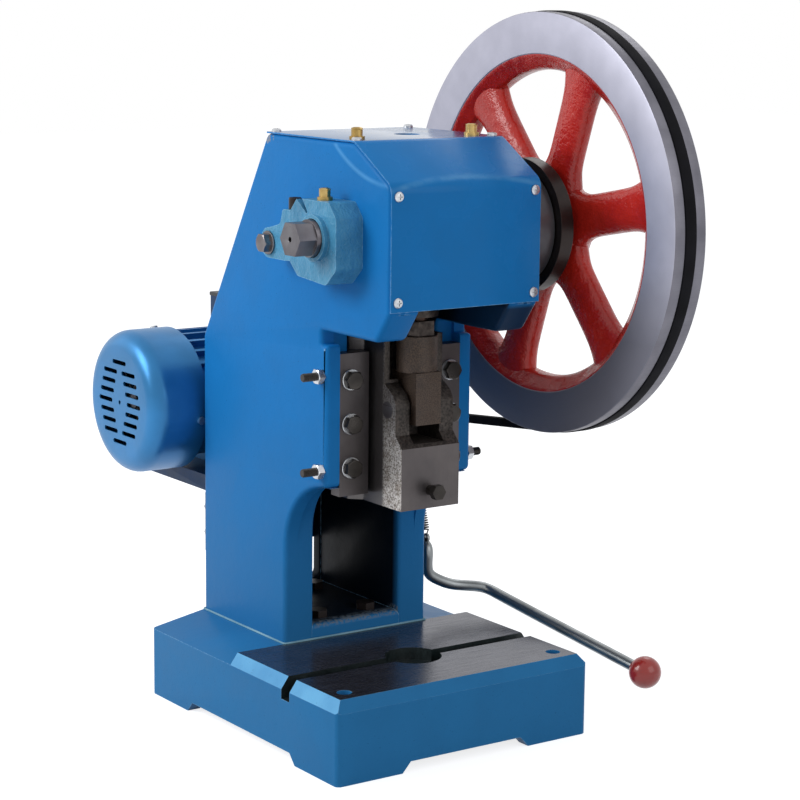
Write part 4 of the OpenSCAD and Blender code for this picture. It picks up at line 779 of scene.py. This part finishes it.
def makeCover(width, thick, front, lip, bend, topFront, top, rear):
    # a bent sheet: the outer outline less the inner one, with the oil hole punched out
    outer = rounded([(-front, lip), (-front, bend), (-topFront, top), (rear, top)], [0, 14, 14, 0], 10)
    inner = rounded([(-front + thick, lip), (-front + thick, bend - 0.6), (-topFront + 0.4, top - thick),
                     (rear, top - thick)], [0, 12.4, 12.4, 0], 10)
    sheet = slab(np.vstack([outer, inner[::-1]]), -width / 2, width / 2, "x", 0.4, 0.4, steps=2)
    # upward faces take the top's enamel with its painted reflection
    piece = makePiece("coverSheet", *sheet, "press", [coverPaint, coverTopPaintedReflection], ["head_cover"], sharp=24,
                      pick=lambda centres, normals: normals[:, 2] > 0.97)
    hole = [(top - 6, 0.01), (top - 6, 12), (top + 4, 12), (top + 4, 0.01)]
    punchOut(piece, *turned(hole, "z", (15, 41), 64))


makeCover(**coverSizes)
print("base and cover done")

# flywheel


# radii from the crank's axis, left is the near face of the rim, angles in degrees
flywheelSizes = {
    "radius": 199, "left": 136.1, "width": 36.7, "rim": 40, "slope": 14,
    "groove": 10, "grooveHalf": 6.9, "flank": 19,
    "hub": 42, "bore": 23, "spokeCount": 6, "spokeThick": 24, "spokeWidth": 40, "phase": 11,
}


def makeFlywheel(radius, left, width, rim, slope, groove, grooveHalf, flank, hub, bore, spokeCount,
                 spokeThick, spokeWidth, phase):
    # the rim with its belt groove, half floor = half mouth - depth tan(flank)
    middle, right = left + width / 2, left + width
    inner = radius - rim
    floorHalf = grooveHalf - groove * math.tan(math.radians(flank))
    rimTurn = [(left, inner + 1.5), (left, radius - 1.5), (left + 0.5, radius - 0.4), (left + 1.5, radius),
               (middle - grooveHalf, radius), (middle - floorHalf, radius - groove),
               (middle + floorHalf, radius - groove), (middle + grooveHalf, radius), (right - 1.5, radius),
               (right - 0.5, radius - 0.4), (right, radius - 1.5), (right, inner + 1.5),
               (right - 1, inner + 0.4), (left + 1, inner + 0.4)]
    makePiece("flywheelRim", *turned(rimTurn, "x", crank, 192), "wheel", [rimIron, treadIron], ["flywheel"],
              sharp=28, pick=lambda centres, normals: np.abs(normals[:, 0]) < 0.6)

    # the painted inside of the rim, the hub and the spokes
    crest = inner - slope
    dish = [(left + 0.7, inner + 1.2), (left + 1.2, inner - 0.9), (left + 3, inner - 2.6),
            (middle - 9, crest + 2.6), (middle - 6.4, crest + 0.6), (middle - 3, crest),
            (middle + 3, crest), (middle + 6.4, crest + 0.6), (middle + 9, crest + 2.6),
            (right - 3, inner - 2.6), (right - 1.2, inner - 0.9), (right - 0.7, inner + 1.2),
            (middle, inner + 4)]
    hubLeft, hubRight = (corner[0] for corner in span("hub_bush"))
    hubTurn = [(hubLeft, bore), (hubLeft, hub - 2), (hubLeft + 1.2, hub), (middle - 12, hub + 4),
               (middle - 7, hub + 7), (middle, hub + 8), (middle + 7, hub + 7), (middle + 12, hub + 4),
               (hubRight - 1.2, hub), (hubRight, hub - 2), (hubRight, bore)]
    parts = [turned(dish, "x", crank, 192), turned(hubTurn, "x", crank, 96)]
    reach = np.linspace(hub - 2, inner + 2, 40)
    fromHub, toRim = reach - reach[0], reach[-1] - reach
    # a spoke spreads near its ends: 1 + a exp(-(distance / b)^2)
    halfWidth = spokeWidth / 2 * (1 + 0.42 * np.exp(-(fromHub / 15) ** 2) + 0.5 * np.exp(-(toRim / 22) ** 2))
    halfThick = spokeThick / 2 * (1 + 0.18 * np.exp(-(fromHub / 14) ** 2) + 0.1 * np.exp(-(toRim / 20) ** 2))
    a = fullTurn(48)
    # its section is nearly an oval: |u / width|^2.3 + |x / thickness|^2.3 = 1
    power = 2 / 2.3
    acrossU = np.sign(np.cos(a)) * np.abs(np.cos(a)) ** power
    acrossX = np.sign(np.sin(a)) * np.abs(np.sin(a)) ** power
    for i in range(spokeCount):
        angle = math.radians(180 - phase + i * 360 / spokeCount)
        outward = np.array([math.cos(angle), math.sin(angle)])
        sideways = np.array([-math.sin(angle), math.cos(angle)])
        spot = reach[:, None, None] * outward + (halfWidth[:, None] * acrossU)[..., None] * sideways + crank
        grid = np.concatenate([(middle + halfThick[:, None] * acrossX)[..., None], spot], -1)
        faces = gridFaces(len(reach), len(a), False, True).tolist() + capFaces(len(a), len(reach))
        parts.append((grid.reshape(-1, 3), faces))
    spokes = makePiece("flywheelSpokes", *joinParts(*parts), "wheel", spokeEnamel, sharp=40)


makeFlywheel(**flywheelSizes)
print("flywheel done")

# belt


# its section, and the radii of its lower face on the two wheels
beltSizes = {
    "width": 13, "height": 8, "flank": 19,
    "wheelRadius": 192, "pulleyRadius": 27.3,
}


def makeBelt(width, height, flank, wheelRadius, pulleyRadius):
    # half of the belt's turn round the wheel: cos(wrap) = (wheel radius - pulley radius) / distance
    gap = motorAxis - crank
    toMotor = math.atan2(gap[1], gap[0])
    wrap = math.acos((wheelRadius - pulleyRadius) / np.hypot(*gap))

    def arc(centre, radius, start, end, steps):
        # centre + r (cos t, sin t)
        t = np.linspace(start, end, steps)
        return centre + radius * np.stack([np.cos(t), np.sin(t)], 1)

    def loop(offset):
        # arc round the wheel, straight run, arc round the pulley, straight run
        onWheel = arc(crank, wheelRadius + offset, toMotor + wrap, toMotor + 2 * math.pi - wrap, 180)
        onPulley = arc(motorAxis, pulleyRadius + offset, toMotor - wrap, toMotor + wrap, 60)
        there, home = (np.linspace(start[-1], end[0], 40)[1:-1]
                       for start, end in ((onWheel, onPulley), (onPulley, onWheel)))
        return np.vstack([onWheel, there, onPulley, home])

    top = width / 2
    bottom = top - height * math.tan(math.radians(flank))
    section = rounded([(-bottom, 0), (bottom, 0), (top, height - 1.2), (top - 0.5, height),
                       (-top + 0.5, height), (-top, height - 1.2)], [0.8, 0.8, 0.3, 0.5, 0.5, 0.3], 3)
    x = middleOf("drive_belt", 0) / mm - dieAxis[0] / mm
    grid = np.stack([np.insert(loop(v), 0, x + u, axis=1) for u, v in section], 1)
    makePiece("driveBelt", grid.reshape(-1, 3), gridFaces(grid.shape[0], grid.shape[1], True, True), "press",
              beltRubber, ["drive_belt"], sharp=30)


makeBelt(**beltSizes)
print("belt done")

# fasteners


# x, face and heights place the bolts, the rest are heads and washers
gibBoltSizes = {
    "x": 56, "face": 25.3, "heights": (261, 302.4, 343.8),
    "headAcross": 16, "headHigh": 6.6, "washerInner": 5.4, "washerOuter": 10,
}


def makeGibBolts(x, face, heights, headAcross, headHigh, washerInner, washerOuter):
    # a hexagon head on a washer at each height, on both gibs
    heads, washers = [], []
    for side in (-1, 1):
        for z in heights:
            points, faces = hexHead(headAcross, headHigh)
            # each head has been tightened to its own angle
            spin = math.radians(17 * z % 60)
            cosine, sine = math.cos(spin), math.sin(spin)
            turn = np.array([[cosine, -sine, 0], [sine, cosine, 0], [0, 0, 1]])
            heads.append(turnTo((points @ turn.T, faces), (side * x, face - 2, z), (0, -1, 0)))
            washers.append(turnTo(washer(washerInner, washerOuter), (side * x, face, z), (0, -1, 0)))
    makePiece("gibBoltHeads", *joinParts(*heads), "press", blackSteel, ["gib_bolts"], sharp=22)
    makePiece("gibBoltWashers", *joinParts(*washers), "press", zinc, ["gib_washers"], sharp=25)


# each screw is (side, height, overhang)
setScrewSizes = {
    "y": 34.5, "radius": 4, "pitch": 1.25, "nutAcross": 13, "nutHigh": 6.5, "nutFace": 82.5,
    "buried": 0.1,
    "screws": ((-1, 259, 21), (-1, 348, 21), (1, 259, 17)),
    "flushX": 73.5, "flushZ": 348, "flushLength": 8,
}


def makeSetScrews(y, radius, pitch, nutAcross, nutHigh, nutFace, buried, screws, flushX, flushZ,
                  flushLength):
    # a threaded end with its nut for each screw, and the flush one without
    studs, nuts = [], []
    for side, z, overhang in screws:
        stud, nut = thread(radius, overhang, pitch), hexHead(nutAcross, nutHigh, radius - 0.6)
        studs.append(turnTo(stud, (side * (nutFace - buried), y, z), (side, 0, 0)))
        nuts.append(turnTo(nut, (side * nutFace, y, z), (side, 0, 0)))
    # the upper right one ends flush and has no nut
    studs.append(turnTo(thread(radius, flushLength, pitch), (flushX, y, flushZ), (1, 0, 0)))
    makePiece("setScrewThreads", *joinParts(*studs), "press", blackSteel, ["gib_set_screws"], sharp=30)
    makePiece("setScrewNuts", *joinParts(*nuts), "press", zinc, ["set_screw_nuts"], sharp=22)


# left is the bolt's end, anchor and clamp are the two axes, ear is the clamp's top
brakeBoltSizes = {
    "left": -111, "anchor": (90, 467), "clamp": (-97, 57), "ear": 500,
    "headAcross": 16, "headHigh": 7.2, "washerInner": 3, "washerOuter": 11,
}


def makeBrakeBolts(left, anchor, clamp, ear, headAcross, headHigh, washerInner, washerOuter):
    # the hexagon head and washer of the anchor bolt, and the clamp screw's cap head with its socket
    head = turnTo(hexHead(headAcross, headHigh), (left + 4, *anchor), (-1, 0, 0))
    ring = turnTo(washer(washerInner, washerOuter), (left + 6, *anchor), (-1, 0, 0))
    capHead = turned([(ear, 0.01), (ear, 5.5), (ear + 0.5, 6), (ear + 10.2, 6), (ear + 11, 5.2),
                      (ear + 11, 2.9), (ear + 6, 2.6), (ear + 6, 0.01)], "z", clamp, 40)
    parts = joinParts(head, ring, capHead)
    makePiece("brakeBoltHead", *parts, "press", [wornSteel, ringSteel], ["brake_bolt"], sharp=22,
              pick=lambda centres, normals: centres[:, 2] > ear - 1)


makeGibBolts(**gibBoltSizes)
makeSetScrews(**setScrewSizes)
makeBrakeBolts(**brakeBoltSizes)
print("bolts and screws done")

# lever, knob and spring


# diameters of the rod and the ball, and the rod's path from its pivot to the ball
leverSizes = {
    "rod": 11, "knob": 30.5,
    "path": [
        (100, 152, 149), (100, 124, 149), (100, 117.5, 143), (100, 119.5, 126), (102.5, 119.5, 117),
        (110, 117, 111.5), (124, 112.4, 105), (140, 105, 103), (151, 99, 102), (159, 93, 99.5),
        (162, 72, 95), (171, -136, 68),
    ],
}


def makeLever(rod, knob, path):
    # the bent rod with its boss, spring lug and pin, and the ball, cut flat at its collar
    boss = turned([(93, 6.2), (93, 9.6), (93.9, 10.5), (106.1, 10.5), (107, 9.6), (107, 6.2)],
                  "x", (152, 149), 48)
    lug = slab(circlePath(121, 155, 4.5, 28), 98.6, 101.4, "x", 0.5, 0.5, [circlePath(121, 156, 1.6, 20)], 2)
    pin = turned([(88, 0.01), (88, 2.4), (88.5, 2.9), (100, 2.9), (100, 0.01)], "x", (124, 149), 32)
    arm = tube(path, rod / 2, 28, smooth=3)
    makePiece("handLever", *joinParts(arm, boss, lug, pin), "lever", brightSteel, ["hand_lever"], sharp=30)

    ball = np.array(path[-1], float)
    toBall = ball - np.array(path[-2], float)
    toBall /= np.linalg.norm(toBall)
    r = knob / 2
    a = np.linspace(0.42, math.pi - 0.16, 40)
    collar = [(-r * 0.90, 0.01), (-r * 0.98, 6.2), (-r * 0.96, 6.9)]
    profile = collar + [(-r * math.cos(t), r * math.sin(t)) for t in a] + [(r * 0.985, 0.01)]
    shape = turnTo(turned(profile, "z", (0, 0), 64), ball, toBall)
    makePiece("ballKnob", *shape, "lever", knobPlastic, ["ball_knob"], sharp=35)


# its two ends, then the coil's turns and radius, the wire's radius and the hooks' length
springSizes = {
    "low": (100, 121, 156), "high": (100, 140, 214),
    "turns": 20, "radius": 4.0, "wire": 0.7, "hook": 7,
}


def makeSpring(low, high, turns, radius, wire, hook):
    # a coil round the line from end to end: radius (cos t, sin t), rising evenly, with two hooks
    bottom, top = np.array(low, float), np.array(high, float)
    axis = top - bottom
    length = np.linalg.norm(axis)
    axis /= length
    sideX = np.array([1.0, 0, 0])
    third = np.cross(axis, sideX)
    t = np.linspace(0, 1, turns * 16)
    rise = hook + (length - 2 * hook) * t
    turn = t * turns * 2 * np.pi
    ring = np.cos(turn)[:, None] * sideX + np.sin(turn)[:, None] * third
    coil = bottom + rise[:, None] * axis + radius * ring
    hookLow = [bottom + axis * 0.4, bottom + axis * 3.2 + sideX * 1.5]
    hookHigh = [top - axis * 3.4 + sideX * 1.5, top - axis * 0.8]
    points, faces = tube(np.vstack([hookLow, coil, hookHigh]), wire, 10)
    # it rides on no body: it stretches from the lever's lug to the press
    springPiece = makePiece("returnSpring", points, faces, None, blackSteel, ["return_spring"], sharp=50)
    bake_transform(springPiece)


makeLever(**leverSizes)
makeSpring(**springSizes)
print("lever and spring done")

# the pieces whose frame shape only needs its edges broken

softPieces = {
    "left_gib": (0.8, gibSteel), "right_gib": (0.8, gibSteel), "brake_block": (1.6, brakePaint),
    "motor_plate": (1.5, platePaint), "motor_housing": (0.6, motorPaint), "drive_shield": (0.8, motorPaint),
    "fan_shield": (0.8, motorPaint), "fan_cowl": (0.3, motorPaint), "terminal_box": (1.5, platePaint),
    "terminal_lid": (1.0, blackPlastic), "motor_pulley": (0.4, shaftSteel), "crankshaft": (0.7, shaftSteel),
    "clutch_collar": (1.2, collarSteel), "clutch_ring": (1.0, ringSteel), "clutch_key": (0.5, shaftSteel),
    "clutch_finger": (0.8, forgedSteel), "end_washer": (0.8, collarSteel),
    "connecting_rod": (1.0, forgedSteel), "rod_block": (1.5, greasySteel), "lock_nut": (0.8, forgedSteel),
    "adjusting_screw": (0.5, screwSteel), "lever_stud": (0.4, zinc), "finger_stud": (0.4, blackSteel),
    "pull_rod": (0.3, blackSteel),
}
for node, (bevel, finish) in softPieces.items():
    softCopy(node, bevel, finish)

ramSizes = {"flankStart": 30, "pocketFloor": 284, "softEdge": 1.0}


def ramPick(centres, normals):
    # 0 on the milled front, 1 on the scraped flanks, 2 in the rough pocket and on the cheeks
    x, _, z = centres.T
    flank = (np.abs(normals[:, 0]) > 0.7) & (np.abs(x) > ramSizes["flankStart"])
    rough = (z > ramSizes["pocketFloor"]) & ~flank
    return np.where(flank, 1, np.where(rough, 2, 0))


softCopy("ram", ramSizes["softEdge"], [ramFace, ramSide, ramRough], pick=ramPick)

# the frame nodes that stay as they are, with a finish

plainNodes = {
    "column_bolts": ringSteel, "cover_screws": zinc, "left_main_bush": bronze, "right_main_bush": bronze,
    "brake_lining": liningFibre, "oil_cups": brass, "left_cup_lid": brass, "right_cup_lid": brass,
    "brake_cup_lid": brass, "ring_screws": blackSteel, "hub_bush": bronze, "end_bolt": shaftSteel,
    "rod_bush": bronze, "wrist_pin": shaftSteel, "shank_screw": blackSteel, "plate_bolts": zinc,
    "stator": windingVarnish, "motor_bearings": zinc, "rotor_shaft": shaftSteel, "cooling_fan": blackPlastic,
    "cowl_screws": zinc, "motor_bolts": zinc,
}
for node, finish in plainNodes.items():
    mesh = frame["nodes"][node].data
    mesh.materials.clear()
    mesh.materials.append(finish)
print("frame shapes finished")

# floor, world and lamps

floorHalf = 8
corners = [(x * floorHalf, y * floorHalf, 0) for x, y in ((-1, -1), (1, -1), (1, 1), (-1, 1))]
floorMesh = bpy.data.meshes.new("floor")
floorMesh.from_pydata(corners, [], [(0, 1, 2, 3)])
floor = addObject("floor", floorMesh)
pale, tree, shader, coords = startMaterial("whiteFloor", Roughness=0.9, Specular_IOR_Level=0.0)
shader.inputs["Base Color"].default_value = linear("#bfc1c5")
shader.inputs["Emission Color"].default_value = linear("#ffffff")


def seenDirectly(tree, low, high):
    # high for rays from the camera, off metal and through glass, low for the rest
    seen = addNode(tree, "LightPath", out="Is Camera Ray")
    rays = seen.node.outputs
    for kind in ("Is Glossy Ray", "Is Transmission Ray"):
        seen = addNode(tree, "Math", {0: seen, 1: rays[kind]}, operation="MAXIMUM")
    return addNode(tree, "MapRange", {0: seen, 3: low, 4: high})


tree.links.new(seenDirectly(tree, 0, 0.8), shader.inputs["Emission Strength"])
floorMesh.materials.append(pale)

world = bpy.data.worlds.new("studio")
bpy.context.scene.world = world
world.use_nodes = True
tree = world.node_tree
sky = tree.nodes["Background"]
sky.inputs["Color"].default_value = linear("#ffffff")
tree.links.new(seenDirectly(tree, 0.48, 1.0), sky.inputs["Strength"])

lamps = {
    "key": {"place": (-1.9, 0.7, 1.5), "size": 1.1, "power": 29},
    "back": {"place": (-1.5, 2.6, 1.3), "size": 1.8, "power": 5},
    "fill": {"place": (0.6, -2.6, 1.6), "size": 2.0, "power": 15},
    "rim": {"place": (1.8, 1.2, 2.2), "size": 1.0, "power": 6},
}
target = Vector((0, 0, 0.33))  # what they all face
for name, lamp in lamps.items():
    data = bpy.data.lights.new(name, "AREA")
    data.size, data.energy = lamp["size"], lamp["power"]
    light = addObject(name, data)
    light.location = lamp["place"]
    light.rotation_mode = "QUATERNION"
    light.rotation_quaternion = (target - light.location).to_track_quat("-Z", "Y")
bpy.context.scene.view_settings.view_transform = "Standard"
print("lit")
